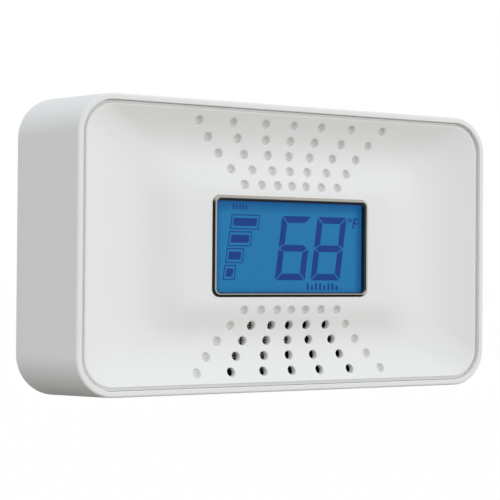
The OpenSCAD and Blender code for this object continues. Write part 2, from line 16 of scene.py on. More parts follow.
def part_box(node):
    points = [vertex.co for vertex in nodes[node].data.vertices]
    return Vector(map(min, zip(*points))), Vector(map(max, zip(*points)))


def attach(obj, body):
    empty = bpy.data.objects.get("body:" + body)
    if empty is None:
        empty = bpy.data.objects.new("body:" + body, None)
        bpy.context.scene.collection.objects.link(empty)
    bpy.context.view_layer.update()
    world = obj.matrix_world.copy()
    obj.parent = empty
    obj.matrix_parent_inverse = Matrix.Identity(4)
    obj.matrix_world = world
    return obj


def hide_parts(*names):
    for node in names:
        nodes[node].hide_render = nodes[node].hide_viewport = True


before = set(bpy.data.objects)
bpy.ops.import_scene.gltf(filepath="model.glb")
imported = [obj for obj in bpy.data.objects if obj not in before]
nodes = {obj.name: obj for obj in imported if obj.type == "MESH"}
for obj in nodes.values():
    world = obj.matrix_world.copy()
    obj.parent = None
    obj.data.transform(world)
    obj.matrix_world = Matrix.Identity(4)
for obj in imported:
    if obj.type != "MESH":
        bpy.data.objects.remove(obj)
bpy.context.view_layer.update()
scene = bpy.context.scene

# ---------- Housing ----------
# The side shell is moulded in one shot in white ABS, drafted so that it leaves its tool, and its
# rounded front rim stands round the grille panel like a picture frame. Four bosses take the case screws.

mm = 0.001
shell_low, shell_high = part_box("housing")
front_y = shell_low.y
depth = shell_high.y - front_y
mid_z = (shell_low.z + shell_high.z) / 2
flare = 1.6 * mm
front_x = shell_high.x - flare
front_z = shell_high.z - mid_z - flare
front_corner = 9.5 * mm
corner_growth = 1.0 * mm
wall = 1.8 * mm
rim_band = 1.5 * mm
rim_round = 0.55 * mm
lip_round = 0.25 * mm
back_round = 0.35 * mm
ledge_front = 3.6 * mm
ledge_back = 5.2 * mm
ledge_inset = 4 * mm
boss_x = front_x - 5.5 * mm
boss_z = front_z - 5.5 * mm
boss_r = 3.4 * mm
boss_front = 6.2 * mm
cover_front = depth - 2 * mm
corner_steps = 16


def linear(hex_colour):
    """An sRGB hex colour as linear red, green, blue and alpha."""
    parts = [int(hex_colour[i : i + 2], 16) / 255 for i in (1, 3, 5)]
    return [c / 12.92 if c <= 0.04045 else ((c + 0.055) / 1.055) ** 2.4 for c in parts] + [1.0]


def add_node(tree, kind, settings=None, links=None):
    """Adds a node. Settings are its properties, or its inputs by name or number. Links feed its inputs."""
    node = tree.nodes.new(kind)
    for key, value in (settings or {}).items():
        if isinstance(key, str) and hasattr(node, key):
            setattr(node, key, value)
        else:
            node.inputs[key].default_value = value
    for key, source in (links or {}).items():
        tree.links.new(source, node.inputs[key])
    return node


def new_material(name):
    """An empty node material: the material, its tree, and its Object coordinates."""
    material = bpy.data.materials.new(name)
    material.use_nodes = True
    tree = material.node_tree
    tree.nodes.clear()
    return material, tree, add_node(tree, "ShaderNodeTexCoord").outputs["Object"]


def calc(tree, operation, first, second=None):
    """The result of a maths node, whose two values are each a socket or a plain number."""
    node = add_node(tree, "ShaderNodeMath", {"operation": operation})
    for i, value in enumerate((first, second)):
        if hasattr(value, "node"):
            tree.links.new(value, node.inputs[i])
        elif value is not None:
            node.inputs[i].default_value = value
    return node.outputs[0]


def blend(tree, first, second, share):
    """A colour that turns from the first hex colour into the second as the share grows from 0 to 1."""
    settings = {"data_type": "RGBA", 6: linear(first), 7: linear(second)}
    return add_node(tree, "ShaderNodeMix", settings, {0: share}).outputs[2]


def span(tree, value, given=(0.0, 1.0), to=(0.0, 1.0)):
    """A value carried from one range to another, and held inside it."""
    settings = {"From Min": given[0], "From Max": given[1], "To Min": to[0], "To Max": to[1]}
    return add_node(tree, "ShaderNodeMapRange", settings, {"Value": value}).outputs[0]


def noise(tree, place, scale, detail=2.0, roughness=0.5):
    """Soft noise, as a value that wanders about a half."""
    settings = {"Scale": scale, "Detail": detail, "Roughness": roughness}
    return add_node(tree, "ShaderNodeTexNoise", settings, {"Vector": place}).outputs[0]


def relief_normal(tree, height, strength, distance):
    """The normal of a surface with a faint relief on it."""
    settings = {"Strength": strength, "Distance": distance}
    return add_node(tree, "ShaderNodeBump", settings, {"Height": height}).outputs[0]


def finish_surface(tree, settings, links):
    """Adds the surface's own shader and joins it to the material's output."""
    shader = add_node(tree, "ShaderNodeBsdfPrincipled", settings, links)
    add_node(tree, "ShaderNodeOutputMaterial", links={"Surface": shader.outputs[0]})


def moulded_plastic(name, colour, shade, roughness, grain=0.35 * mm, relief=0.05):
    """An injection-moulded plastic: its colour drifts a little, and its tool's grain breaks its sheen."""
    material, tree, place = new_material(name)
    drift = noise(tree, place, 30.0, 2.0)
    tint = blend(tree, colour, shade, drift)
    spark = noise(tree, place, 1 / grain, 3.0, 0.6)
    sheen = span(tree, spark, (0.3, 0.7), (roughness - 0.05, roughness + 0.05))
    bump = relief_normal(tree, spark, relief, 0.02 * mm)
    finish_surface(tree, {"IOR": 1.53}, {"Base Color": tint, "Roughness": sheen, "Normal": bump})
    return material


def round_rect(half_x, half_z, radius, steps=corner_steps, along=(1, 1)):
    """Points round a rounded rectangle, with along divisions on each long and each short straight."""
    corners = []
    for quarter in range(4):
        centre_x = (half_x - radius) * (1 if quarter in (0, 3) else -1)
        centre_z = (half_z - radius) * (1 if quarter < 2 else -1)
        turns = [math.pi / 2 * (quarter + step / steps) for step in range(steps + 1)]
        corners.append([(centre_x + radius * math.cos(a), centre_z + radius * math.sin(a)) for a in turns])
    points = []
    for quarter, corner in enumerate(corners):
        (x0, z0), (x1, z1) = corner[-1], corners[(quarter + 1) % 4][0]
        shares = [i / along[quarter % 2] for i in range(1, along[quarter % 2])]
        points += corner + [(x0 + (x1 - x0) * s, z0 + (z1 - z0) * s) for s in shares]
    return points


def at_depth(outline, behind, height=0.0):
    """An outline, drawn as x and height from the middle of the front, set at a depth behind the rim."""
    return [(x, front_y + behind, mid_z + height + z) for x, z in outline]


def circle(x, z, radius, sides=32):
    turns = [2 * math.pi * i / sides for i in range(sides)]
    return [(x + radius * math.cos(a), z + radius * math.sin(a)) for a in turns]


def loft(rings, closed=False, caps=False):
    """Vertices and faces of a skin through rings of equally many points, joined end to end or capped."""
    count = len(rings[0])
    faces = []
    for i in range(len(rings) if closed else len(rings) - 1):
        a, b = i * count, (i + 1) % len(rings) * count
        faces += [(a + j, a + (j + 1) % count, b + (j + 1) % count, b + j) for j in range(count)]
    if caps:
        last = (len(rings) - 1) * count
        faces += [tuple(reversed(range(count))), tuple(range(last, last + count))]
    return [p for ring in rings for p in ring], faces


def rod(x, z, radius, depth_from, depth_to):
    """A round rod along the depth, at x and height z from the middle."""
    ends = [at_depth(circle(x, z, radius), behind) for behind in (depth_from, depth_to)]
    return loft(ends, caps=True)


def make_plain(piece):
    """Turns what the piece's modifiers give into its own plain mesh."""
    graph = bpy.context.evaluated_depsgraph_get()
    made = bpy.data.meshes.new_from_object(piece.evaluated_get(graph))
    piece.modifiers.clear()
    piece.data = made
    return piece


def soften(piece, degrees=35):
    """Smooth shading that keeps every edge sharper than the angle, and keeps flat faces flat."""
    piece.data.shade_smooth()
    piece.data.set_sharp_from_angle(angle=math.radians(degrees))
    flatter = piece.modifiers.new("flat_faces", "WEIGHTED_NORMAL")
    flatter.keep_sharp = True
    return make_plain(piece)


def mesh_piece(name, parts, material=None, degrees=35):
    """One object from parts of vertices and faces, with doubles merged and faces turned outwards."""
    shape = bmesh.new()
    for vertices, faces in parts:
        made = [shape.verts.new(v) for v in vertices]
        for face in faces:
            shape.faces.new([made[i] for i in face])
    bmesh.ops.remove_doubles(shape, verts=shape.verts, dist=0.0005 * mm)
    bmesh.ops.recalc_face_normals(shape, faces=shape.faces)
    mesh = bpy.data.meshes.new(name)
    shape.to_mesh(mesh)
    shape.free()
    piece = bpy.data.objects.new(name, mesh)
    scene.collection.objects.link(piece)
    if material:
        mesh.materials.append(material)
    return soften(piece, degrees)


def combine(piece, operation, tools):
    """Joins the tools to the piece or cuts them from it, then removes them."""
    for tool in tools:
        modifier = piece.modifiers.new(operation, "BOOLEAN")
        modifier.operation = operation
        modifier.solver = "EXACT"
        modifier.object = tool
    make_plain(piece)
    for tool in tools:
        bpy.data.objects.remove(tool)
    return soften(piece)


def fit(piece, body, slot, *stands_for):
    """Sets a finished piece on its body and hides the solids it stands for. Its slot is not used."""
    if stands_for:
        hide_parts(*stands_for)
    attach(piece, body)
    return piece


def shell_ring(inset, behind):
    """Ring of the drafted side at a depth behind the rim, taken in by inset."""
    share = behind / depth
    half_x = front_x + flare * share - inset
    half_z = front_z + flare * share - inset
    return at_depth(round_rect(half_x, half_z, front_corner + corner_growth * share - inset), behind)


def rounding(radius, steps=6):
    """Pairs (across, down) round a quarter circle, from the flat on top to the upright side."""
    turns = [math.pi / 2 * i / steps for i in range(steps + 1)]
    return [(radius * (1 - math.sin(t)), radius * (1 - math.cos(t))) for t in turns]


def stadium(length, width, steps=12):
    """Outline of a bar with round ends, its length along x."""
    return round_rect(length / 2, width / 2, width / 2 - 0.001 * mm, steps)


def four_corners(half_x, half_z):
    """The corners of a rectangle round the middle, as x and height."""
    return [(sx * half_x, sz * half_z) for sx in (-1, 1) for sz in (-1, 1)]


# Moulded ABS, opaque white and very slightly warm. The fine eroded grain of its tool gives it a soft,
# even sheen with no mirror reflection. The grain is drawn coarser than it is, so that it shows.
shell_abs = moulded_plastic("moulded_abs_shell", "#F0F0EE", "#ECECEA", 0.45)

profile = list(reversed(rounding(rim_round)))
profile += [(rim_band - a, b) for a, b in rounding(lip_round)]
profile += [(rim_band, ledge_front), (ledge_inset, ledge_front), (ledge_inset, ledge_back)]
profile += [(wall, ledge_back), (wall, depth)]
profile += [(a, depth - b) for a, b in rounding(back_round)]
shell = mesh_piece(
    "housing_shell", [loft([shell_ring(a, b) for a, b in profile], closed=True)], shell_abs
)

boss_places = four_corners(boss_x, boss_z)
bosses = [mesh_piece("boss", [rod(x, z, boss_r, boss_front, cover_front)]) for x, z in boss_places]
combine(shell, "UNION", bosses)

# The hole for the test button goes through the top wall, and its edge flares outwards a little.
button_l = 26 * mm
button_w = 8 * mm
button_depth = 10.5 * mm
button_clear = 0.3 * mm
hole_flare = 0.45 * mm
hole_levels = [(-wall - 1 * mm, 0), (0, 0), (0.75 * mm, hole_flare), (2 * mm, hole_flare)]


def lying(outline, behind, height):
    """An outline laid flat, its second measure along the depth, at a height from the middle."""
    return [(x, front_y + behind + y, mid_z + height) for x, y in outline]


hole_rings = []
for level, wider in hole_levels:
    clear = 2 * (button_clear + wider)
    hole_rings.append(lying(stadium(button_l + clear, button_w + clear), button_depth, front_z + level))
shell_cuts = [mesh_piece("button_hole", [loft(hole_rings, caps=True)])]
pilot_r = 1.1 * mm
for x, z in boss_places:
    shell_cuts.append(mesh_piece("pilot", [rod(x, z, pilot_r, boss_front - 1 * mm, depth)]))
combine(shell, "DIFFERENCE", shell_cuts)
fit(shell, "alarm", "shell", "housing")

# ---------- Grille panel ----------
# A separate white ABS moulding, dished from its rounded edge down to a valley and up again to a flat
# round the display. Its edge steps out below the rim, which floors the gap round it. Only the holes
# over the horn and the sensor go through: the rest are blind dimples. Corner pegs plug into the bosses.

panel_gap = 0.75 * mm
groove_floor = 1.3 * mm
step_w = panel_gap - 0.03 * mm
panel_wall = 1.8 * mm
edge_sink = 0.35 * mm
valley_sink = 3.95 * mm
plateau_sink = 2.0 * mm
panel_x = front_x - rim_band - panel_gap
panel_z = front_z - rim_band - panel_gap
valley_in = (15.5 * mm, 10.3 * mm)
plateau_in = (28 * mm, 20.4 * mm)
outline_x = [panel_x, panel_x - valley_in[0], panel_x - plateau_in[0]]
outline_z = [panel_z, panel_z - valley_in[1], panel_z - plateau_in[1]]
outline_r = [front_corner - rim_band - panel_gap, 8 * mm, 5 * mm]
edge_way = 0.03
skirt_way = 1.6 * mm / valley_in[1]
edge_lip = 0.5 * mm
contour_count = 40
contour_along = (44, 26)

hole_r = 1.1 * mm
hole_lip = 0.25 * mm
row_start = 15.5 * mm
row_step = 3.75 * mm
pitch_start = 4.17 * mm
pitch_step = 1.02 * mm
pitch_power = 1.08
hole_sides = 24
mouth_margin = 0.28 * mm
throat_margin = 0.3 * mm
dimple = [(1.0, 1.05 * mm), (0.93, 1.3 * mm), (0.75, 1.46 * mm), (0.45, 1.56 * mm), (0.15, 1.6 * mm)]
peg_r = 1.2 * mm
peg_front = edge_sink + 1.6 * mm
peg_back = 9.8 * mm

display_lift = 0.3 * mm
opening_x = 22.5 * mm
opening_z = 12.2 * mm
opening_r = 1.75 * mm


def outline_at(way):
    return [np.interp(way, [0, 1, 2], sizes) for sizes in (outline_x, outline_z, outline_r)]


def way_in(x, z):
    """How far points lie on the way in from the panel's edge (0) to its valley (1) and its flat (2)."""
    low, high = np.zeros_like(x), np.full_like(x, 2.0)
    for _ in range(26):
        middle = (low + high) / 2
        half_x, half_z, radius = outline_at(middle)
        across, up = np.abs(x) - half_x + radius, np.abs(z) - half_z + radius
        beyond = np.hypot(np.maximum(across, 0), np.maximum(up, 0)) + np.minimum(np.maximum(across, up), 0)
        inside = beyond <= radius
        low, high = np.where(inside, middle, low), np.where(inside, high, middle)
    return low


def sink(x, z):
    """Depth of the panel's face behind the rim at points given by x and height from the middle."""
    way = way_in(np.asarray(x, float), np.asarray(z, float))
    slope = edge_sink + (valley_sink - edge_sink) * np.sin(np.pi / 2 * way)
    rise = valley_sink - (valley_sink - plateau_sink) * (1 - np.cos(np.pi * (way - 1))) / 2
    return np.where(way < 1, slope, rise)


def on_face(outline, drop, level_share=0.0, centre=(0.0, 0.0)):
    """An outline laid on the dished face, dropped behind it, and levelled towards the depth at a centre."""
    x, z = np.array(outline).T
    behind = sink(x, z) * (1 - level_share) + sink([centre[0]], [centre[1]])[0] * level_share + drop
    return [(a, front_y + d, mid_z + b) for a, b, d in zip(x, z, behind)]


def contour(way):
    return round_rect(*outline_at(way), corner_steps, contour_along)


def joined_loops(loops):
    """The points of several loops in one list, and the edges that close each loop."""
    points, edges = [], []
    for loop in loops:
        start = len(points)
        points += loop
        edges += [(start + i, start + (i + 1) % len(loop)) for i in range(len(loop))]
    return points, edges


def triangles(points, edges):
    """Points and faces of a flat net that keeps to the edges. It is worked out in millimetres."""
    flat = [Vector((x / mm, z / mm)) for x, z in points]
    made, _, faces, *_ = delaunay_2d_cdt(flat, edges, [], 0, 1e-6)
    return made, faces


def dished_skin(first_way, drop, circles, keep_off):
    """Triangles of the dished face inside a contour, without the display's opening and the circles."""
    opening = [(x, z + display_lift) for x, z in round_rect(opening_x, opening_z, opening_r)]
    points, edges = joined_loops([contour(first_way), opening] + [ring for ring, _ in circles])
    centres = np.array([centre for _, centre in circles])
    for way in np.linspace(first_way, 2, contour_count)[1:]:
        ring = np.array(contour(way))
        apart = np.hypot(*(ring[:, None, :] - centres[None]).transpose(2, 0, 1)).min(axis=1)
        points += [tuple(p) for p in ring[apart > keep_off]]
    made, faces = triangles(points, edges)
    place = np.array([tuple(v) for v in made]) * mm
    middle = place[np.array(faces)].mean(axis=1)
    in_opening = (np.abs(middle[:, 0]) < opening_x) & (np.abs(middle[:, 1] - display_lift) < opening_z)
    straight = [opening_x - opening_r, opening_z - opening_r]
    corner = np.maximum(np.abs(middle - [0, display_lift]) - straight, 0)
    in_opening &= np.hypot(*corner.T) < opening_r
    near = np.hypot(*(middle[:, None, :] - centres[None]).transpose(2, 0, 1)).min(axis=1)
    circle_r = math.hypot(*(np.array(circles[0][0][0]) - circles[0][1]))
    kept = [tuple(f) for f, out in zip(faces, in_opening | (near < circle_r)) if not out]
    return on_face(place, drop), kept


holes = []
for row in range(5):
    for column in range(-3, 4):
        pitch = pitch_start + pitch_step * row
        x = math.copysign(pitch * abs(column) ** pitch_power, column)
        for side in (-1, 1):
            is_open = side < 0 and row > 0 and abs(column) < 3
            holes.append(((x, side * (row_start + row_step * row)), is_open))

mouths = [(circle(*centre, hole_r + hole_lip, hole_sides), centre) for centre, _ in holes]
throats = [(circle(*centre, hole_r, hole_sides), centre) for centre, is_open in holes if is_open]
parts = [
    dished_skin(edge_way, 0, mouths, hole_r + hole_lip + mouth_margin),
    dished_skin(skirt_way, panel_wall, throats, hole_r + throat_margin),
]
for centre, is_open in holes:
    rings = []
    for across, down in rounding(hole_lip, 4):
        rings.append(on_face(circle(*centre, hole_r + across, hole_sides), down))
    if is_open:
        rings.append(on_face(circle(*centre, hole_r, hole_sides), panel_wall))
    for share, down in [] if is_open else dimple:
        level = min(1, (down - hole_lip) / (0.5 * mm))
        rings.append(on_face(circle(*centre, hole_r * share, hole_sides), down, level, centre))
    vertices, faces = loft(rings)
    if not is_open:
        faces.append(tuple(range(len(vertices) - hole_sides, len(vertices))))
    parts.append((vertices, faces))

edge_rings = []
for turn in np.linspace(0, math.pi / 2, 7):
    edge_rings.append(on_face(contour(edge_way * (1 - math.sin(turn))), edge_lip * (1 - math.cos(turn))))
edge_rings.append(at_depth(contour(0), groove_floor))
step_size = [size + step_w for size in outline_at(0)]
for behind in (groove_floor, ledge_front):
    edge_rings.append(at_depth(round_rect(*step_size, corner_steps, contour_along), behind))
edge_rings.append(at_depth(contour(skirt_way), ledge_front))
edge_rings.append(on_face(contour(skirt_way), panel_wall))
opening_edge = round_rect(opening_x, opening_z, opening_r)
opening_rings = [
    at_depth(opening_edge, behind, display_lift) for behind in (plateau_sink, plateau_sink + panel_wall)
]
parts += [loft(edge_rings), loft(opening_rings)]
parts += [rod(x, z, peg_r, peg_front, peg_back) for x, z in boss_places]

# The same ABS as the housing from another tool, polished a little finer, so its broad curves read as
# clean, soft gradations.
panel_abs = moulded_plastic("moulded_abs_panel", "#F1F1EF", "#EDEDEB", 0.42, relief=0.04)
panel = mesh_piece("grille_panel", parts, panel_abs, 40)
fit(panel, "alarm", "panel", "front_panel")

# ---------- Display ----------
# A twisted liquid crystal glass between two polarising films, lit from behind in blue by an edge-lit
# light guide. It looks out through a clear window, a black sleeve and a chrome-plated trim ring, and
# two striped rubber strips join it to the board.


def plated_metal(name, colour, shade, roughness, streak=(1.0, 1.0, 1.0), relief=0.03):
    """A bare or plated metal with faint streaks along one direction, which its sheen follows."""
    material, tree, place = new_material(name)
    stretched = add_node(tree, "ShaderNodeMapping", {"Scale": streak}, {"Vector": place})
    lines = noise(tree, stretched.outputs[0], 2500.0, 2.0)
    tint = blend(tree, colour, shade, lines)
    sheen = span(tree, lines, (0.3, 0.7), (roughness * 0.75, roughness * 1.25))
    bump = relief_normal(tree, lines, relief, 0.01 * mm)
    finish_surface(tree, {"Metallic": 1.0}, {"Base Color": tint, "Roughness": sheen, "Normal": bump})
    return material


def clear_sheet(name, colour, alpha, roughness, ior, speck=1 * mm):
    """A clear sheet that dims what is behind it a little, with a faint cloudiness in its sheen."""
    material, tree, place = new_material(name)
    cloud = noise(tree, place, 1 / speck)
    sheen = span(tree, cloud, to=(roughness * 0.7, roughness * 1.3))
    tint = blend(tree, colour, "#0C1014", cloud)
    finish_surface(tree, {"Alpha": alpha, "IOR": ior}, {"Base Color": tint, "Roughness": sheen})
    return material


def dress(material, *names):
    """Gives a finish to solids whose shape is already right."""
    for name in names:
        nodes[name].data.materials.clear()
        nodes[name].data.materials.append(material)


def eased(node, name, width, material, body, slot):
    """A clean copy of a solid with its sharp edges eased by a small bevel, set in the solid's place."""
    shape = bmesh.new()
    shape.from_mesh(nodes[node].data)
    bmesh.ops.remove_doubles(shape, verts=shape.verts, dist=0.002 * mm)
    bmesh.ops.dissolve_limit(
        shape, angle_limit=math.radians(1), verts=shape.verts[:], edges=shape.edges[:]
    )
    mesh = bpy.data.meshes.new(name)
    shape.to_mesh(mesh)
    shape.free()
    piece = bpy.data.objects.new(name, mesh)
    scene.collection.objects.link(piece)
    bevel = piece.modifiers.new("eased_edges", "BEVEL")
    bevel.width = width
    bevel.segments = 2
    bevel.limit_method = "ANGLE"
    bevel.angle_limit = math.radians(40)
    bevel.use_clamp_overlap = False
    make_plain(piece)
    piece.data.materials.clear()
    piece.data.materials.append(material)
    soften(piece)
    return fit(piece, body, slot, node)


# Bright decorative chrome over nickel on moulded ABS: a near mirror that picks up the pale room above
# and the dark sleeve below, with the faint ripple that plating over plastic keeps.
trim_chrome = plated_metal("chrome_plated_trim", "#E6E1D6", "#D8D3C8", 0.13)

trim_x = 22.95 * mm
trim_z = 12.5 * mm
trim_r = 2.0 * mm
trim_band = 1.1 * mm
trim_slope = 0.56 * mm
left_lip = 0.4 * mm
trim_profile = [(0, plateau_sink), (0.03 * mm, plateau_sink - 0.06 * mm)]
trim_profile += [(trim_slope, plateau_sink - 0.38 * mm), (0.66 * mm, plateau_sink - 0.42 * mm)]
trim_profile += [(0.76 * mm, plateau_sink - 0.41 * mm), (0.86 * mm, plateau_sink - 0.34 * mm)]
trim_profile += [(0.94 * mm, plateau_sink - 0.22 * mm), (1.02 * mm, plateau_sink)]
trim_profile += [(trim_band, plateau_sink + 0.3 * mm), (1.02 * mm, plateau_sink + 0.3 * mm)]
trim_profile += [(0.8 * mm, plateau_sink)]
trim_rings = []
for inset, behind in trim_profile:
    extra = left_lip / 2 * max(0, (inset - 0.66 * mm) / (trim_band - 0.66 * mm))
    outline = round_rect(trim_x - inset - extra, trim_z - inset, trim_r - inset * 0.9)
    trim_rings.append(at_depth([(x + extra, z) for x, z in outline], behind, display_lift))
trim = mesh_piece("trim_ring", [loft(trim_rings, closed=True)], trim_chrome, 60)
fit(trim, "alarm", "trim", "display_bezel")

# The sleeve is a thin black tube behind the ring, whose inner edge wraps over its front.
sleeve_x = 22.45 * mm
sleeve_z = 12.15 * mm
sleeve_r = 1.7 * mm
sleeve_back = plateau_sink + panel_wall
sleeve_wall = 0.3 * mm
sleeve_profile = [(0, plateau_sink + 0.02 * mm), (0, sleeve_back), (sleeve_wall, sleeve_back)]
sleeve_profile += [(sleeve_wall, plateau_sink + 0.02 * mm)]
sleeve_rings = [
    at_depth(round_rect(sleeve_x - a, sleeve_z - a, sleeve_r - a * 0.9), behind, display_lift)
    for a, behind in sleeve_profile
]

# Its front edge turns inwards over the window as a narrow black border, widest at the top.
border_in = 0.9 * mm
border_w = 0.38 * mm
border_drop = 0.12 * mm
border_r = 1.1 * mm
border_t = 0.39 * mm
border_rings = []
for inner, back in ((0, 0), (1, 0), (1, 1), (0, 1)):
    inset = border_in + inner * border_w
    outline = round_rect(trim_x - inset, trim_z - inset, border_r)
    lowered = [(x, z - inner * border_drop) for x, z in outline]
    border_rings.append(at_depth(lowered, plateau_sink + back * border_t, display_lift))

# Black ABS with a fine matt texture, so that it swallows the light at the sides of the display.
black_abs = moulded_plastic("moulded_abs_black", "#101113", "#17181A", 0.5, grain=0.2 * mm)
sleeve_parts = [loft(sleeve_rings, closed=True), loft(border_rings, closed=True)]
sleeve = mesh_piece("display_sleeve", sleeve_parts, black_abs)
fit(sleeve, "alarm", "black_plastic", "display_shroud")

# Clear cast acrylic with a hard coat: nearly invisible, and only just softer than glass in its shine.
window_acrylic = clear_sheet("hard_coated_acrylic", "#101418", 0.05, 0.12, 1.49)
dress(window_acrylic, "display_window")

# Stretched polariser film: a grey tint with no grain that the eye can see.
film_grey = clear_sheet("polariser_film", "#14181C", 0.06, 0.3, 1.5, 3 * mm)
dress(film_grey, "front_polariser")

# Soda-lime display glass, cut and ground at its edges, clear with a faint green in its thickness.
display_glass = clear_sheet("display_glass", "#0E1A16", 0.04, 0.05, 1.52, 4 * mm)
dress(display_glass, "front_glass")

# The lit liquid crystal field: an even blue that falls off to a darker blue under the sleeve's edges,
# where the sleeve's shadow is painted in, and a faint mottle from the diffuser's bead coating. Each painted
# shadow runs along an axis from a dark place to a bright one, and leaves a least share of the light.
field_blue, tree, place = new_material("lit_liquid_crystal")
axes = add_node(tree, "ShaderNodeSeparateXYZ", links={0: place})
display_z = mid_z + display_lift
painted_edge_shadows = [
    ("X", -20.6 * mm, -18.9 * mm, 0.3),
    ("X", 22.2 * mm, 20.3 * mm, 0.2),
    ("Z", display_z + 11.5 * mm, display_z + 8.2 * mm, 0.0),
    ("Z", display_z - 11.8 * mm, display_z - 9.8 * mm, 0.55),
]
painted_shadow_share = 1.0
for axis, dark_at, bright_at, least in painted_edge_shadows:
    step = span(tree, axes.outputs[axis], (dark_at, bright_at), (least, 1.0))
    painted_shadow_share = calc(tree, "MULTIPLY", step, painted_shadow_share)
bead = noise(tree, place, 900.0, 1.0)
grainy = span(tree, bead, to=(-0.05, 0.05))
share = calc(tree, "ADD", painted_shadow_share, grainy)
blue = blend(tree, "#15508A", "#2877A9", share)
finish_surface(
    tree,
    {"Base Color": linear("#06101C"), "Roughness": 0.4, "IOR": 1.5, "Emission Strength": 1.3},
    {"Emission Color": blue},
)
dress(field_blue, "rear_glass")

# The figures: liquid crystal turned dark between its clear electrodes, a deep blue with soft edges.
figure_blue, tree, place = new_material("dark_liquid_crystal")
cloud = noise(tree, place, 500.0)
deep = blend(tree, "#1D3C84", "#224289", cloud)
finish_surface(
    tree,
    {"Base Color": linear("#040A18"), "Roughness": 0.5, "IOR": 1.5, "Emission Strength": 1.25},
    {"Emission Color": deep},
)

figure_lean = 0.13
ink_front = 4.55 * mm
ink_t = 0.05 * mm


def printed(outline, lean=figure_lean, x=0.0, z=0.0):
    """A flat figure as a thin solid, leaning about its own middle, placed on the display."""
    drawn = [(x + a + lean * b, z + b) for a, b in outline]
    if sum(p[0] * q[1] - q[0] * p[1] for p, q in zip(drawn, drawn[1:] + drawn[:1])) < 0:
        drawn.reverse()
    front = [(a, front_y + ink_front, display_z + b) for a, b in drawn]
    back = [(a, y + ink_t, b) for a, y, b in front]
    return loft([front, back], caps=True)


def box_outline(left, low, right, high):
    return [(left, low), (right, low), (right, high), (left, high)]


def digit(x, z, lit):
    """A seven-bar digit: top, upper right, lower right, bottom, lower left, upper left and middle."""
    w, h, t, g = 4.45 * mm, 8.1 * mm, 1.7 * mm, 0.22 * mm
    across = [(g - w, h), (w - g, h), (w - t - g, h - t), (t + g - w, h - t)]
    upright = [(w, h - g), (w, g), (w - t, t / 2 + g), (w - t, h - t - g)]
    middle = [(2 * g - w, 0), (t - w, t / 2), (w - t, t / 2)]
    middle += [(-a, -b) for a, b in middle]
    bars = [
        across,
        upright,
        [(a, -b) for a, b in upright],
        [(a, -b) for a, b in across],
        [(-a, -b) for a, b in upright],
        [(-a, b) for a, b in upright],
        middle,
    ]
    return [printed(bar, x=x, z=z) for bar, on in zip(bars, lit) if on]


# Two digits, and beside them four level bars that get shorter downwards, each filled inside a frame.
digit_z = -0.22 * mm
figures = digit(1.95 * mm, digit_z, (1, 0, 1, 1, 1, 1, 1)) + digit(12.55 * mm, digit_z, (1,) * 7)
bar_h = 3.72 / 2 * mm
bar_line = 0.28 * mm
fill_in = (0.75 * mm, 0.87 * mm)
for i in range(4):
    bar_w = (8.25 - 1.62 * i) / 2 * mm
    bar_x = (-16.35 - 0.65 * i) * mm + bar_w
    bar_z = (6.08 - 4.18 * i) * mm
    in_w, in_h = bar_w - bar_line, bar_h - bar_line
    boxes = [
        box_outline(fill_in[0] - bar_w, fill_in[1] - bar_h, bar_w - fill_in[0], bar_h - fill_in[1]),
        box_outline(-bar_w, in_h, bar_w, bar_h),
        box_outline(-bar_w, -bar_h, bar_w, -in_h),
        box_outline(-bar_w, -in_h, -in_w, in_h),
        box_outline(in_w, -in_h, bar_w, in_h),
    ]
    figures += [printed(box, x=bar_x, z=bar_z) for box in boxes]

# The degree ring and its unit letter, as on any thermometer.
ring_in = circle(19.05 * mm, 7.2 * mm, 0.28 * mm, 20)
ring_out = circle(19.05 * mm, 7.2 * mm, 0.6 * mm, 20)
ring_levels = [(ring_out, 0), (ring_out, ink_t), (ring_in, ink_t), (ring_in, 0)]
figures.append(
    loft([at_depth(ring, ink_front + down, display_lift) for ring, down in ring_levels], closed=True)
)
letter_bars = [(0, 0, 0.5, 2.7), (0.5, 2.2, 1.6, 2.7), (0.5, 1.1, 1.4, 1.6)]
for letter_bar in letter_bars:
    outline = box_outline(*(side * mm for side in letter_bar))
    figures.append(printed(outline, x=19.8 * mm, z=5.05 * mm))

# Rows of small plain ticks stand where a maker would print words.
tick_rows = [(-15.75, 9.15, 0.42, 1.4, 0.92, 5), (5.95, -10.75, 0.62, 1.7, 1.26, 8)]
for start_x, low, tick_w, tick_h, pitch, count in tick_rows:
    for i in range(count):
        rise = tick_h * (0.72 if i % 3 == 1 else 1.0)
        tick = box_outline(0, 0, tick_w * mm, rise * mm)
        figures.append(printed(tick, 0.0, (start_x + pitch * i) * mm, low * mm))
fit(mesh_piece("display_figures", figures, figure_blue), "alarm", "segments", "display_segments")

# Behind the glass: a pressed film, a bead-coated diffuser, a moulded guide with dots, and white foil.
field_film = clear_sheet("rear_polariser_film", "#1C2A3C", 0.5, 0.3, 1.5, 3 * mm)
dress(field_film, "rear_polariser")


def dotted_sheet(name, colour, dot_colour, pitch, roughness, alpha=1.0, glow=0.0):
    """A sheet with a square field of small round dots, as moulded or printed on it."""
    material, tree, place = new_material(name)
    cells = add_node(
        tree, "ShaderNodeTexVoronoi", {"Scale": 1 / pitch, "Randomness": 0.15}, {"Vector": place}
    )
    dots = span(tree, cells.outputs["Distance"], (0.25, 0.4), (1.0, 0.0))
    tint = blend(tree, colour, dot_colour, dots)
    bump = relief_normal(tree, dots, 0.3, 0.02 * mm)
    finish_surface(
        tree,
        {"Alpha": alpha, "Roughness": roughness, "IOR": 1.49, "Emission Strength": glow},
        {"Base Color": tint, "Emission Color": tint, "Normal": bump},
    )
    return material


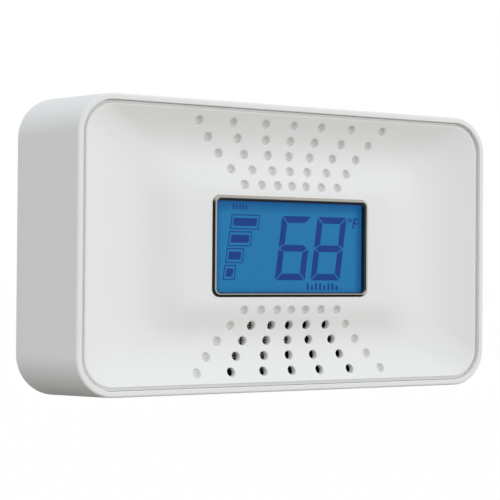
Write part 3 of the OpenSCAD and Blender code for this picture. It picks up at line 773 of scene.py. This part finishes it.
# Bead-coated polyester, a milky satin; clear acrylic with a field of moulded dots; bright white foil.
dress(dotted_sheet("bead_coated_diffuser", "#D9E6F2", "#E6EEF6", 0.4 * mm, 0.7), "diffuser")
dress(
    dotted_sheet("dotted_light_guide", "#7FB6E8", "#CFE6FA", 1.0 * mm, 0.15, 0.6, 0.15), "light_guide"
)
dress(dotted_sheet("white_reflector_foil", "#F4F4F2", "#ECECEA", 0.7 * mm, 0.35), "reflector")
dress(dotted_sheet("blue_lamp_lens", "#8FC6FF", "#D8ECFF", 0.8 * mm, 0.2, 1.0, 0.8), "backlight_lamps")

# Glass-filled nylon, off-white and slightly matt, for the parts that hold others in place.
holder_nylon = moulded_plastic("moulded_nylon_holder", "#E6E2D6", "#DED9CC", 0.55, grain=0.25 * mm)
eased("display_frame", "display_carrier", 0.15 * mm, holder_nylon, "alarm", "white_plastic")

# Silicone strip with fine carbon layers: pink rubber crossed by black lines, drawn wider than they are.
strip_rubber, tree, place = new_material("striped_contact_rubber")
layers = add_node(
    tree,
    "ShaderNodeTexWave",
    {"bands_direction": "X", "Scale": 1 / (1.2 * mm) / 3.2, "Distortion": 0.2},
    {"Vector": place},
)
stripe = span(tree, layers.outputs["Fac"], (0.45, 0.55))
tint = blend(tree, "#D9909A", "#1A1A1A", stripe)
finish_surface(tree, {"Roughness": 0.65, "IOR": 1.41}, {"Base Color": tint})
dress(strip_rubber, "contact_strips")

# ---------- Gas side: dust screen, horn and sensor ----------
# Behind the open holes lies a woven nylon screen. The horn is a moulded cup with a brass piezo disc in
# it, and the electrochemical sensor is a steel can under a plastic cap. Both stand on the board.


def node_group(name, *sizes):
    """A Geometry Nodes tree with a geometry input and named size inputs, and its group input node."""
    tree = bpy.data.node_groups.new(name, "GeometryNodeTree")
    tree.interface.new_socket("Geometry", in_out="INPUT", socket_type="NodeSocketGeometry")
    tree.interface.new_socket("Geometry", in_out="OUTPUT", socket_type="NodeSocketGeometry")
    for size in sizes:
        tree.interface.new_socket(size, in_out="INPUT", socket_type="NodeSocketFloat")
    return tree, add_node(tree, "NodeGroupInput")


def end_group(tree, geometry, material):
    """Ends a tree with Realize Instances and Set Material."""
    real = add_node(tree, "GeometryNodeRealizeInstances", links={0: geometry})
    painted = add_node(
        tree, "GeometryNodeSetMaterial", {"Material": material}, {"Geometry": real.outputs[0]}
    )
    add_node(tree, "NodeGroupOutput", links={0: painted.outputs[0]})


def scaled(tree, way, size):
    """A direction made as long as a size."""
    settings = {"operation": "SCALE", 0: way}
    return add_node(tree, "ShaderNodeVectorMath", settings, {"Scale": size}).outputs[0]


def tube(tree, curve, radius, sides):
    """A round tube along a curve, closed at its ends."""
    ring = add_node(tree, "GeometryNodeCurvePrimitiveCircle", {"Resolution": sides}, {"Radius": radius})
    links = {"Curve": curve, "Profile Curve": ring.outputs[0]}
    return add_node(tree, "GeometryNodeCurveToMesh", {"Fill Caps": True}, links).outputs[0]


def together(tree, *shapes):
    """Several geometries joined as one."""
    whole = add_node(tree, "GeometryNodeJoinGeometry")
    for shape in shapes:
        tree.links.new(shape, whole.inputs[0])
    return whole.outputs[0]


def grow(name, tree, sizes, points=((0, 0, 0),), edges=(), degrees=35):
    """Runs a tree on points and edges with its named sizes, and returns the result as a plain mesh."""
    mesh = bpy.data.meshes.new(name)
    mesh.from_pydata([Vector(p) for p in points], edges, [])
    piece = bpy.data.objects.new(name, mesh)
    scene.collection.objects.link(piece)
    modifier = piece.modifiers.new(name, "NODES")
    modifier.node_group = tree
    for socket in tree.interface.items_tree:
        if socket.in_out == "INPUT" and socket.name in sizes:
            modifier[socket.identifier] = sizes[socket.name]
    return soften(make_plain(piece), degrees)


# Black woven nylon monofilament, matt. The threads are drawn several times thicker than they are,
# so that the weave still shows through a hole.
screen_nylon = moulded_plastic("woven_nylon_screen", "#0B0B0C", "#111113", 0.75, grain=0.1 * mm)

# Two sets of threads cross each other, and each rises where the other dips.
weave, given = node_group("woven_screen", "Width", "Height", "Pitch", "Thread")
weave_pitch, thread_size = given.outputs["Pitch"], given.outputs["Thread"]
place = add_node(weave, "GeometryNodeInputPosition")
axes = add_node(weave, "ShaderNodeSeparateXYZ", links={0: place.outputs[0]})
waves = []
for axis in ("X", "Z"):
    turn = calc(weave, "DIVIDE", axes.outputs[axis], weave_pitch)
    waves.append(calc(weave, "COSINE", calc(weave, "MULTIPLY", turn, math.pi)))
over_under = calc(weave, "MULTIPLY", waves[0], waves[1])
x_way, z_way = (1, 0, 0), (0, 0, 1)
threads = []
for along, across, run, step_way, side in (
    ("Width", "Height", x_way, z_way, 1),
    ("Height", "Width", z_way, x_way, -1),
):
    half = calc(weave, "DIVIDE", given.outputs[along], 2 * side)
    start, stop = (scaled(weave, tuple(s * c for c in run), half) for s in (-1, 1))
    line = add_node(weave, "GeometryNodeCurvePrimitiveLine", links={"Start": start, "End": stop})
    steps = calc(weave, "MULTIPLY", calc(weave, "DIVIDE", given.outputs[along], weave_pitch), 4.0)
    links = {"Curve": line.outputs[0], "Count": steps}
    fine = add_node(weave, "GeometryNodeResampleCurve", links=links)
    links = {
        "Count": calc(weave, "DIVIDE", given.outputs[across], weave_pitch),
        "Start Location": scaled(weave, step_way, calc(weave, "DIVIDE", given.outputs[across], -2.0)),
        "Offset": scaled(weave, step_way, weave_pitch),
    }
    row = add_node(weave, "GeometryNodeMeshLine", {"mode": "OFFSET"}, links)
    links = {"Points": row.outputs[0], "Instance": fine.outputs[0]}
    laid = add_node(weave, "GeometryNodeInstanceOnPoints", links=links)
    real = add_node(weave, "GeometryNodeRealizeInstances", links={0: laid.outputs[0]})
    swing = calc(weave, "MULTIPLY", thread_size, side * 0.8)
    swing = calc(weave, "MULTIPLY", swing, over_under)
    lift = add_node(weave, "ShaderNodeCombineXYZ", links={"Y": swing})
    links = {"Geometry": real.outputs[0], "Offset": lift.outputs[0]}
    threads.append(add_node(weave, "GeometryNodeSetPosition", links=links).outputs[0])
end_group(weave, tube(weave, together(weave, *threads), thread_size, 4), screen_nylon)
screen_low, screen_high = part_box("dust_screen")
screen_sizes = {
    "Width": screen_high.x - screen_low.x - 0.4 * mm,
    "Height": screen_high.z - screen_low.z - 0.4 * mm,
    "Pitch": 0.62 * mm,
    "Thread": 0.11 * mm,
}
screen = grow("woven_dust_screen", weave, screen_sizes)
screen.data.transform(Matrix.Translation((screen_low + screen_high) / 2))
fit(screen, "alarm", "screen", "dust_screen")

eased("horn_cup", "horn_resonator", 0.2 * mm, holder_nylon, "alarm", "white_plastic")

# Rolled half-hard brass, turned faintly dull, with the fine lines of its rolling across the disc.
piezo_brass = plated_metal("rolled_brass_disc", "#C9A35A", "#B89048", 0.3, (1.0, 1.0, 0.05))
dress(piezo_brass, "piezo_disc")

# Gold flashed over nickel: warm, smooth and bright.
contact_gold = plated_metal("gold_flashed_pin", "#E0B354", "#D4A444", 0.22)
dress(contact_gold, "horn_contacts", "sensor_pins")

# Drawn stainless steel: bright, with soft streaks up its drawn sides.
drawn_steel = plated_metal("drawn_stainless_steel", "#BDBEBF", "#A9ABAD", 0.28, (1.0, 0.06, 1.0))
eased("co_sensor", "sensor_can", 0.3 * mm, drawn_steel, "alarm", "steel")
eased("sensor_cap", "sensor_dust_cap", 0.3 * mm, black_abs, "alarm", "black_plastic")

# ---------- Board and its parts ----------
# A two-sided fibreglass board with green solder resist over its copper. Machine-placed parts are on
# its front, and the tall ones stand clear of the display.

# Solder resist on glass-fibre laminate: glossy green that shows the tracks beneath as lighter lines.
board_resist, tree, place = new_material("solder_resist_on_fibreglass")
across = add_node(tree, "ShaderNodeSeparateXYZ", links={0: place})
flat = add_node(
    tree, "ShaderNodeCombineXYZ", links={"X": across.outputs["X"], "Y": across.outputs["Z"]}
)
tracks = add_node(
    tree,
    "ShaderNodeTexBrick",
    {
        "offset": 0.37,
        "squash": 0.6,
        "Scale": 1.0,
        "Mortar Size": 0.32 * mm,
        "Mortar Smooth": 0.3,
        "Brick Width": 9 * mm,
        "Row Height": 2.54 * mm,
    },
    {"Vector": flat.outputs[0]},
)
glass = noise(tree, place, 1800.0)
resist = blend(tree, "#0F4A2C", "#2C7A4A", tracks.outputs["Fac"])
bump = relief_normal(tree, tracks.outputs["Fac"], 0.25, 0.03 * mm)
sheen = span(tree, glass, to=(0.22, 0.34))
finish_surface(tree, {"IOR": 1.5}, {"Base Color": resist, "Roughness": sheen, "Normal": bump})
eased("main_board", "circuit_board", 0.08 * mm, board_resist, "alarm", "board")

# Moulded black epoxy packages on tinned legs: the body is matt, and what lies close to the board and
# outside the body is bright tin.
board_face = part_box("main_board")[0].y
package_epoxy, tree, place = new_material("black_epoxy_and_tinned_legs")
axes = add_node(tree, "ShaderNodeSeparateXYZ", links={0: place})
tinned = calc(tree, "GREATER_THAN", axes.outputs["Y"], board_face - 0.46 * mm)
for centre_x, half in ((-36 * mm, 5.01 * mm), (27 * mm, 2.26 * mm)):
    off = calc(tree, "ABSOLUTE", calc(tree, "SUBTRACT", axes.outputs["X"], centre_x))
    tinned = calc(tree, "MULTIPLY", calc(tree, "GREATER_THAN", off, half), tinned)
grit = noise(tree, place, 4000.0)
tint = blend(tree, "#1B1C1E", "#C9CACC", tinned)
sheen = span(tree, grit, to=(0.35, 0.65))
finish_surface(tree, {"IOR": 1.55}, {"Base Color": tint, "Roughness": sheen, "Metallic": tinned})
dress(package_epoxy, "microcontroller", "sensor_amplifier", "resistors")
eased("crystal", "crystal_can", 0.35 * mm, drawn_steel, "alarm", "steel")

# Aluminium capacitor cans in a printed shrink sleeve: dark blue with a pale stripe down one side.
can_sleeve, tree, place = new_material("shrink_sleeved_aluminium")
axes = add_node(tree, "ShaderNodeSeparateXYZ", links={0: place})
stripe = add_node(
    tree,
    "ShaderNodeTexWave",
    {"bands_direction": "Z", "Scale": 70.0, "Distortion": 0.3},
    {"Vector": place},
)
pale = span(tree, stripe.outputs["Fac"], (0.86, 0.9))
sleeve_tint = blend(tree, "#1C2440", "#C4C8CE", pale)
finish_surface(tree, {"Roughness": 0.3, "IOR": 1.54}, {"Base Color": sleeve_tint})
eased("capacitors", "capacitor_cans", 0.4 * mm, can_sleeve, "alarm", "capacitor")

# Enamelled copper wire wound between ferrite flanges: the fine turns show as rings along the axis.
wound_copper, tree, place = new_material("enamelled_wire_on_ferrite")
turns = add_node(
    tree,
    "ShaderNodeTexWave",
    {"bands_direction": "Y", "Scale": 1 / (0.5 * mm) / 3.2, "Distortion": 0.0},
    {"Vector": place},
)
axes = add_node(tree, "ShaderNodeSeparateXYZ", links={0: place})
windings = [board_face - 5.6 * mm, board_face - 1 * mm]
after = calc(tree, "GREATER_THAN", axes.outputs["Y"], windings[0])
before = calc(tree, "LESS_THAN", axes.outputs["Y"], windings[1])
wound = calc(tree, "MULTIPLY", after, before)
tint = blend(tree, "#26272A", "#A65A2C", wound)
bump = relief_normal(tree, turns.outputs["Fac"], 0.6, 0.1 * mm)
finish_surface(
    tree, {"Roughness": 0.35, "IOR": 1.5}, {"Base Color": tint, "Metallic": wound, "Normal": bump}
)
dress(wound_copper, "horn_coil")

# ---------- Battery ----------
# Two sealed lithium cells, welded together with nickel strips, lie in a ribbed tray on the rear cover.
# Their two leads run to a plug on the board.

# Printed shrink sleeve over a drawn can: satin blue with paler rings near the ends.
cell_sleeve, tree, place = new_material("printed_cell_sleeve")
axes = add_node(tree, "ShaderNodeSeparateXYZ", links={0: place})
out = calc(tree, "ABSOLUTE", axes.outputs["X"])
ends = span(tree, out, (19.6 * mm, 19.8 * mm))
wrinkle = noise(tree, place, 160.0, 3.0)
tint = blend(tree, "#22467E", "#D7DADF", ends)
bump = relief_normal(tree, wrinkle, 0.2, 0.1 * mm)
finish_surface(tree, {"Roughness": 0.32, "IOR": 1.54}, {"Base Color": tint, "Normal": bump})
eased("battery_upper", "upper_cell", 0.5 * mm, cell_sleeve, "alarm", "cell")
eased("battery_lower", "lower_cell", 0.5 * mm, cell_sleeve, "alarm", "cell")
dress(drawn_steel, "battery_tabs")
eased("battery_cradle", "battery_tray", 0.2 * mm, holder_nylon, "alarm", "white_plastic")
eased("battery_connector", "battery_plug", 0.25 * mm, holder_nylon, "alarm", "white_plastic")

# Extruded PVC insulation, smooth and slightly waxy: red for the battery's leads, black for the switch's.
lead_red = moulded_plastic("extruded_pvc_red", "#A8201C", "#951A18", 0.38, grain=0.6 * mm)
lead_black = moulded_plastic("extruded_pvc_black", "#18181A", "#202022", 0.4, grain=0.6 * mm)

runs, given = node_group("bent_lead", "Radius", "Bend")
line = add_node(runs, "GeometryNodeMeshToCurve", links={"Mesh": given.outputs["Geometry"]})
bent = add_node(
    runs,
    "GeometryNodeFilletCurve",
    {"mode": "POLY", "Count": 6},
    {"Curve": line.outputs[0], "Radius": given.outputs["Bend"]},
)
end_group(runs, tube(runs, bent.outputs[0], given.outputs["Radius"], 14), lead_red)

cell_depth = cover_front - 8 * mm
cell_z = (-3 * mm, 12.2 * mm)
plug_x, plug_z = 33 * mm, 4 * mm
board_back = 15.1 * mm
start = 25.65 * mm
route = []
for i in (0, 1):
    turn = start + 2 * mm + 2 * i * mm
    end_x = plug_x + (i - 0.5) * 2.5 * mm
    lead = [(start, cell_z[i], cell_depth), (turn, cell_z[i], cell_depth), (turn, plug_z, cell_depth)]
    lead += [(end_x, plug_z, cell_depth), (end_x, plug_z, board_back + 1.6 * mm)]
    route += [(x, front_y + behind, mid_z + z) for x, z, behind in lead]
joints = [(i, i + 1) for i in range(9) if i != 4]
leads = grow("battery_wires", runs, {"Radius": 0.6 * mm, "Bend": 0.9 * mm}, route, joints)
fit(leads, "alarm", "lead", "battery_leads")
dress(lead_black, "switch_leads")

# ---------- Controls ----------
# The test button is a white ABS cap that a flange keeps in the top wall, over a small tact switch on
# the board. The battery is switched on by an orange slide behind the rear cover.

eased("test_switch", "tact_switch", 0.15 * mm, black_abs, "alarm", "black_plastic")
eased("switch_plunger", "tact_plunger", 0.2 * mm, holder_nylon, "plunger", "white_plastic")

button_low, button_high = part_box("test_button")
flange_w = 0.8 * mm
flange_front = button_depth - button_w / 2 - flange_w
button_flange_top = front_z + flare * flange_front / depth - wall - 0.12 * mm
flange_t = 0.9 * mm
button_round = 0.7 * mm
stem_r = 1.8 * mm
cap_top = button_high.z - mid_z
levels = [(2.6 * mm, 2 * flange_w, level) for level in (button_flange_top - flange_t, button_flange_top)]
levels += [(0, 0, button_flange_top), (0, 0, cap_top - button_round)]
levels += [(-2 * a, -2 * a, cap_top - b) for a, b in reversed(rounding(button_round))]
levels += [(-4.4 * mm, -4.4 * mm, cap_top - 0.1 * mm), (-6.4 * mm, -6.4 * mm, cap_top - 0.16 * mm)]
cap_rings = []
for longer, wider, level in levels:
    cap_rings.append(lying(stadium(button_l + longer, button_w + wider), button_depth, level))
stem = lying(circle(0, 0, stem_r), button_depth, button_low.z - mid_z)
stem_top = lying(circle(0, 0, stem_r), button_depth, button_flange_top - flange_t / 2)
button_abs = moulded_plastic("moulded_abs_button", "#EDECE8", "#E8E7E3", 0.36, relief=0.03)
cap_parts = [loft(cap_rings, caps=True), loft([stem, stem_top], caps=True)]
button = mesh_piece("test_button_cap", cap_parts, button_abs)
fit(button, "button", "button", "test_button")

eased("activation_switch", "battery_switch", 0.2 * mm, black_abs, "alarm", "black_plastic")

# Orange polypropylene, softer and glossier than the case, with its grip ribs moulded on.
slide_orange = moulded_plastic("moulded_pp_orange", "#E0561C", "#D44E18", 0.34)
eased("activation_slider", "battery_slide", 0.15 * mm, slide_orange, "slider", "slider")

# ---------- Rear cover ----------
# A flat white ABS cover, let into the back of the housing, with two keyholes to hang it by, the slot
# for the battery slide, counterbores for the screws, and a recess for the rating label.

cover_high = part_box("rear_cover")[1]
cover_x = cover_high.x
cover_z = cover_high.z - mid_z
cover_r = front_corner + corner_growth - wall - 0.25 * mm
cover_round = 0.3 * mm
keyhole_x = 38 * mm
keyhole_z = 8 * mm
keyhole_r = 4 * mm
keyhole_slot = 4 * mm
keyhole_rise = 7 * mm
slide_low, slide_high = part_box("activation_slider")
slide_slot = ((slide_low.x + slide_high.x) / 2 + 2 * mm, (slide_low.z + slide_high.z) / 2 - mid_z)
slide_slot_half = (5.3 * mm, 2.5 * mm)
head_recess_r = 2.6 * mm
head_recess_at = depth - 1.1 * mm
recess_lip = 0.15 * mm
screw_clear_r = 1.5 * mm
label_low, label_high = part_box("rating_label")
label_mid = (label_low + label_high) / 2
label_half = ((label_high.x - label_low.x) / 2 + 0.3 * mm, (label_high.z - label_low.z) / 2 + 0.3 * mm)
label_recess = 0.2 * mm
post_x = 44 * mm
post_z = 26 * mm
post_r = 2.6 * mm
post_pilot_r = 0.9 * mm


def keyhole(grow):
    """Outline of a keyhole's round entry with its slot rising from it, grown all round."""
    entry_r, slot_r = keyhole_r + grow, keyhole_slot / 2 + grow
    meet = math.asin(slot_r / entry_r)
    turns = np.linspace(math.pi / 2 + meet, 2.5 * math.pi - meet, 33)
    entry = [(entry_r * math.cos(a), entry_r * math.sin(a)) for a in turns]
    half_turn = np.linspace(0, math.pi, 17)
    return entry + [(slot_r * math.cos(a), keyhole_rise + slot_r * math.sin(a)) for a in half_turn]


def moved(outline, x, z):
    return [(x + a, z + b) for a, b in outline]


def flat_face(behind, outer, cutouts):
    """A flat face at one depth, triangulated between its outline and its cutouts."""
    made, faces = triangles(*joined_loops([outer] + cutouts))
    kept = []
    for face in faces:
        middle = sum((made[i] for i in face), Vector((0, 0))) / 3 * mm
        if within(middle, outer) and not any(within(middle, cutout) for cutout in cutouts):
            kept.append(tuple(face))
    return at_depth([(v.x * mm, v.y * mm) for v in made], behind), kept


def within(point, loop):
    """True if the point lies inside the loop."""
    inside = False
    for (x0, z0), (x1, z1) in zip(loop, loop[1:] + loop[:1]):
        if (z0 > point.y) != (z1 > point.y) and point.x < x0 + (point.y - z0) / (z1 - z0) * (x1 - x0):
            inside = not inside
    return inside


def cover_outline(inset):
    return round_rect(cover_x - inset, cover_z - inset, cover_r - inset)


def through_cut(grow):
    """The loops of the keyholes and the slide's slot, grown all round."""
    slot = round_rect(slide_slot_half[0] + grow, slide_slot_half[1] + grow, 0.3 * mm + grow, 4)
    return [moved(keyhole(grow), sx * keyhole_x, keyhole_z) for sx in (-1, 1)] + [moved(slot, *slide_slot)]


label_edge = round_rect(*label_half, 1.8 * mm, 6)
label_loop = moved(label_edge, label_mid.x, label_mid.z - mid_z)
outer_face = through_cut(cover_round)
outer_face += [moved(circle(0, 0, head_recess_r + recess_lip), *place) for place in boss_places]
inner_face = through_cut(0) + [circle(*place, screw_clear_r) for place in boss_places]
parts = [
    flat_face(depth, cover_outline(cover_round), outer_face + [label_loop]),
    flat_face(cover_front, cover_outline(0), inner_face),
]
turns = rounding(cover_round)
side_rings = [at_depth(cover_outline(a), depth - b) for a, b in turns]
parts.append(loft(side_rings + [at_depth(cover_outline(0), cover_front)]))
for i in range(3):
    rings = [at_depth(through_cut(a)[i], depth - b) for a, b in turns]
    parts.append(loft(rings + [at_depth(through_cut(0)[i], cover_front)]))
for x, z in boss_places:
    levels = [(head_recess_r + recess_lip, depth), (head_recess_r, depth - recess_lip)]
    levels += [(head_recess_r, head_recess_at), (screw_clear_r, head_recess_at)]
    levels.append((screw_clear_r, cover_front))
    parts.append(loft([at_depth(circle(x, z, r), behind) for r, behind in levels]))
floor_ring = at_depth(label_loop, depth - label_recess)
floor_vertices, floor_faces = loft([at_depth(label_loop, depth), floor_ring])
parts.append((floor_vertices, floor_faces + [tuple(range(len(label_loop), 2 * len(label_loop)))]))
cover_abs = moulded_plastic("moulded_abs_cover", "#EFEFEC", "#EBEBE8", 0.5, relief=0.07)
cover = mesh_piece("keyhole_cover", parts, cover_abs)
post_places = four_corners(post_x, post_z)
post_back = cover_front + 0.5 * mm
posts = [mesh_piece("post", [rod(x, z, post_r, board_back, post_back)]) for x, z in post_places]
combine(cover, "UNION", posts)
pilot_ends = (board_back - 1 * mm, board_back + 8 * mm)
post_pilots = [mesh_piece("pilot", [rod(x, z, post_pilot_r, *pilot_ends)]) for x, z in post_places]
combine(cover, "DIFFERENCE", post_pilots)
fit(cover, "alarm", "cover", "rear_cover")

# Printed silver polyester: satin, with rows of plain grey bars inside a ruled border, and no words.
label_film, tree, place = new_material("printed_polyester_label")
centred = add_node(
    tree, "ShaderNodeVectorMath", {"operation": "SUBTRACT", 1: tuple(label_mid)}, {0: place}
)
axes = add_node(tree, "ShaderNodeSeparateXYZ", links={0: centred.outputs[0]})
flat = add_node(tree, "ShaderNodeCombineXYZ", links={"X": axes.outputs["X"], "Y": axes.outputs["Z"]})
bars = add_node(
    tree,
    "ShaderNodeTexBrick",
    {
        "offset": 0.31,
        "squash": 0.55,
        "Scale": 1.0,
        "Mortar Size": 0.62 * mm,
        "Mortar Smooth": 0.1,
        "Brick Width": 7.3 * mm,
        "Row Height": 2.2 * mm,
    },
    {"Vector": flat.outputs[0]},
)
within_border = []
for axis, half in (("X", 19.5 * mm), ("Z", 8.8 * mm)):
    within_border.append(calc(tree, "LESS_THAN", calc(tree, "ABSOLUTE", axes.outputs[axis]), half))
inside = calc(tree, "MULTIPLY", within_border[0], within_border[1])
ink = calc(tree, "SUBTRACT", 1.0, bars.outputs["Fac"])
printed_ink = calc(tree, "MULTIPLY", ink, inside)
tint = blend(tree, "#E2E4E5", "#7A7E82", printed_ink)
finish_surface(tree, {"Roughness": 0.38, "IOR": 1.57}, {"Base Color": tint})
dress(label_film, "rating_label")

# ---------- Screws ----------
# Eight zinc-plated pan-head screws with a cross recess: four hold the board on the cover's posts, and
# four long ones close the case from behind.

screw_zinc = plated_metal("bright_zinc_plate", "#C6C9CC", "#B4B8BC", 0.25)

screws, given = node_group(
    "pan_head_screws", "Head Radius", "Head Height", "Shank Radius", "Length", "Pitch"
)
head_r, head_h = given.outputs["Head Radius"], given.outputs["Head Height"]
shank_r, shank_l = given.outputs["Shank Radius"], given.outputs["Length"]


def reshaped(shape, settings=None, links=None):
    """A screw's geometry after a transform."""
    links = {"Geometry": shape} | (links or {})
    return add_node(screws, "GeometryNodeTransform", settings, links).outputs[0]


def dropped(shape, height):
    """A screw's geometry moved along its axis."""
    way = add_node(screws, "ShaderNodeCombineXYZ", links={"Z": height})
    return reshaped(shape, links={"Translation": way.outputs[0]})


def cut_away(shape, cutter):
    """A screw's geometry with another cut out of it."""
    settings = {"operation": "DIFFERENCE", "solver": "EXACT"}
    links = {"Mesh 1": shape, "Mesh 2": cutter}
    return add_node(screws, "GeometryNodeMeshBoolean", settings, links).outputs[0]


# The head is a flattened ball with a cross cut into it, and all below its middle cut away.
ball = add_node(screws, "GeometryNodeMeshUVSphere", {"Segments": 32, "Rings": 16}, {"Radius": head_r})
flattened = reshaped(ball.outputs[0], {"Scale": (1.0, 1.0, 0.42)})
cross_bars = []
for size in ((2.6 * mm, 0.6 * mm, 1.3 * mm), (0.6 * mm, 2.6 * mm, 1.3 * mm)):
    bar = add_node(screws, "GeometryNodeMeshCube", {"Size": size})
    cross_bars.append(reshaped(bar.outputs[0], {"Translation": (0, 0, 1.05 * mm)}))
recessed = cut_away(flattened, together(screws, *cross_bars))
block = add_node(
    screws, "GeometryNodeMeshCylinder", {"Vertices": 32}, {"Radius": head_r, "Depth": head_h}
)
wide_block = reshaped(block.outputs[0], {"Scale": (2.0, 2.0, 1.0)})
head = cut_away(recessed, dropped(wide_block, calc(screws, "DIVIDE", head_h, -2.0)))

# The shank is a plain core with one ridge wound round it as its thread.
core_r = calc(screws, "MULTIPLY", shank_r, 0.82)
core = add_node(
    screws, "GeometryNodeMeshCylinder", {"Vertices": 24}, {"Radius": core_r, "Depth": shank_l}
)
shank = dropped(core.outputs[0], calc(screws, "DIVIDE", shank_l, -2.0))
links = {"Rotations": calc(screws, "DIVIDE", shank_l, given.outputs["Pitch"])}
links |= {"Start Radius": core_r, "End Radius": core_r, "Height": shank_l}
helix = add_node(screws, "GeometryNodeCurveSpiral", {"Resolution": 18}, links)
ridge = tube(screws, helix.outputs[0], calc(screws, "MULTIPLY", shank_r, 0.18), 5)
thread = dropped(ridge, calc(screws, "MULTIPLY", shank_l, -1.0))
links = {"Points": given.outputs["Geometry"], "Instance": together(screws, head, shank, thread)}
placed = add_node(screws, "GeometryNodeInstanceOnPoints", links=links)
end_group(screws, placed.outputs[0], screw_zinc)


def set_screws(name, node, across, up, head_at, facing, shank, length):
    """Four screws at the corners of a rectangle, their heads facing the back (1) or the front (-1)."""
    places = [(x, z, 0) for x, z in four_corners(across, up * facing)]
    sizes = {"Head Radius": 2.25 * mm, "Head Height": 3 * mm, "Pitch": 0.9 * mm}
    sizes |= {"Shank Radius": shank, "Length": length}
    piece = grow(name, screws, sizes, places)
    tip = Matrix.Rotation(math.radians(-90 * facing), 4, "X")
    piece.data.transform(Matrix.Translation((0, front_y + head_at, mid_z)) @ tip)
    return fit(piece, "alarm", "steel", node)


set_screws("case_screw_set", "case_screws", boss_x, boss_z, head_recess_at, 1, 1.08 * mm, 11 * mm)
set_screws("board_screw_set", "board_screws", post_x, post_z, 13.5 * mm, -1, 0.88 * mm, 8.6 * mm)

# ---------- Studio ----------
# A white room: soft light all round, strongest from the upper right and dimmer straight above and
# below, and a pale floor.

floor_size = 4.0
floor_mesh = bpy.data.meshes.new("studio_floor")
floor_corners = [(-1, -1, 0), (1, -1, 0), (1, 1, 0), (-1, 1, 0)]
floor_mesh.from_pydata([Vector(c) * floor_size for c in floor_corners], [], [(0, 1, 2, 3)])
floor = bpy.data.objects.new("studio_floor", floor_mesh)
scene.collection.objects.link(floor)
floor_paint, tree, place = new_material("painted_studio_floor")
mottle = noise(tree, place, 3.0)
white = blend(tree, "#FFFFFF", "#FEFEFE", mottle)
glow = add_node(tree, "ShaderNodeEmission", {"Strength": 1.0}, {"Color": white})
add_node(tree, "ShaderNodeOutputMaterial", links={"Surface": glow.outputs[0]})
floor_mesh.materials.append(floor_paint)
floor.visible_diffuse = False
floor.visible_glossy = False

world = bpy.data.worlds.new("studio_light")
scene.world = world
world.use_nodes = True
tree = world.node_tree
tree.nodes.clear()
towards = add_node(tree, "ShaderNodeTexCoord").outputs["Generated"]


def reach(vector, way):
    """How far a vector reaches along a way."""
    settings = {"operation": "DOT_PRODUCT", 1: way}
    return add_node(tree, "ShaderNodeVectorMath", settings, {0: vector}).outputs["Value"]


height = add_node(tree, "ShaderNodeSeparateXYZ", links={0: towards}).outputs["Z"]
squared = add_node(tree, "ShaderNodeVectorMath", {"operation": "MULTIPLY"}, {0: towards, 1: towards})
lean_of_light = reach(towards, (0.28, 0.05, 0.56))
fall_off = reach(squared.outputs[0], (-0.26, 0, -0.9))
both = calc(tree, "ADD", lean_of_light, fall_off)
whole_level = calc(tree, "ADD", both, 1.275)
soft_level = calc(tree, "MAXIMUM", whole_level, 0.1)
warm_to_cool = span(tree, height, (-1.0, 1.0))
light_tint = blend(tree, "#FFFAF2", "#F1F8FF", warm_to_cool)
soft_light = add_node(tree, "ShaderNodeBackground", links={"Color": light_tint, "Strength": soft_level})
band = add_node(
    tree,
    "ShaderNodeMapRange",
    {
        "interpolation_type": "SMOOTHSTEP",
        "From Min": -0.25,
        "From Max": 0.45,
        "To Min": 0.03,
        "To Max": 0.72,
    },
    {"Value": reach(towards, (0.6, 0.0, 0.8))},
)
mirrored_light = add_node(tree, "ShaderNodeBackground", links={"Strength": band.outputs[0]})
backdrop = add_node(tree, "ShaderNodeBackground", {"Color": linear("#FFFFFF"), "Strength": 1.0})
ray = add_node(tree, "ShaderNodeLightPath")
lit = add_node(
    tree,
    "ShaderNodeMixShader",
    links={0: ray.outputs["Is Glossy Ray"], 1: soft_light.outputs[0], 2: mirrored_light.outputs[0]},
)
room = add_node(
    tree,
    "ShaderNodeMixShader",
    links={0: ray.outputs["Is Camera Ray"], 1: lit.outputs[0], 2: backdrop.outputs[0]},
)
add_node(tree, "ShaderNodeOutputWorld", links={"Surface": room.outputs[0]})

# The camera looks a little up from low on the left, through a long lens.
camera_data = bpy.data.cameras.new("studio_camera")
camera_data.sensor_width = 36.0
camera_data.lens = 108.57
camera_data.clip_start = 0.01
camera_data.clip_end = 100.0
camera = bpy.data.objects.new("studio_camera", camera_data)
scene.collection.objects.link(camera)
aim = Vector((-13.49 * mm, front_y, mid_z - 0.626 * mm))
camera_distance = 368.792 * mm
yaw, pitch, roll = (math.radians(a) for a in (30.505, 0.888, 0.419))
ahead = Vector((math.sin(yaw) * math.cos(pitch), math.cos(yaw) * math.cos(pitch), math.sin(pitch)))
level_right = Vector((math.cos(yaw), -math.sin(yaw), 0))
level_up = level_right.cross(ahead)
right = level_right * math.cos(roll) + level_up * math.sin(roll)
up = level_up * math.cos(roll) - level_right * math.sin(roll)
turned = Matrix((right, up, -ahead)).transposed()
camera.matrix_world = Matrix.Translation(aim - ahead * camera_distance) @ turned.to_4x4()
scene.camera = camera
scene.view_settings.view_transform = "Standard"
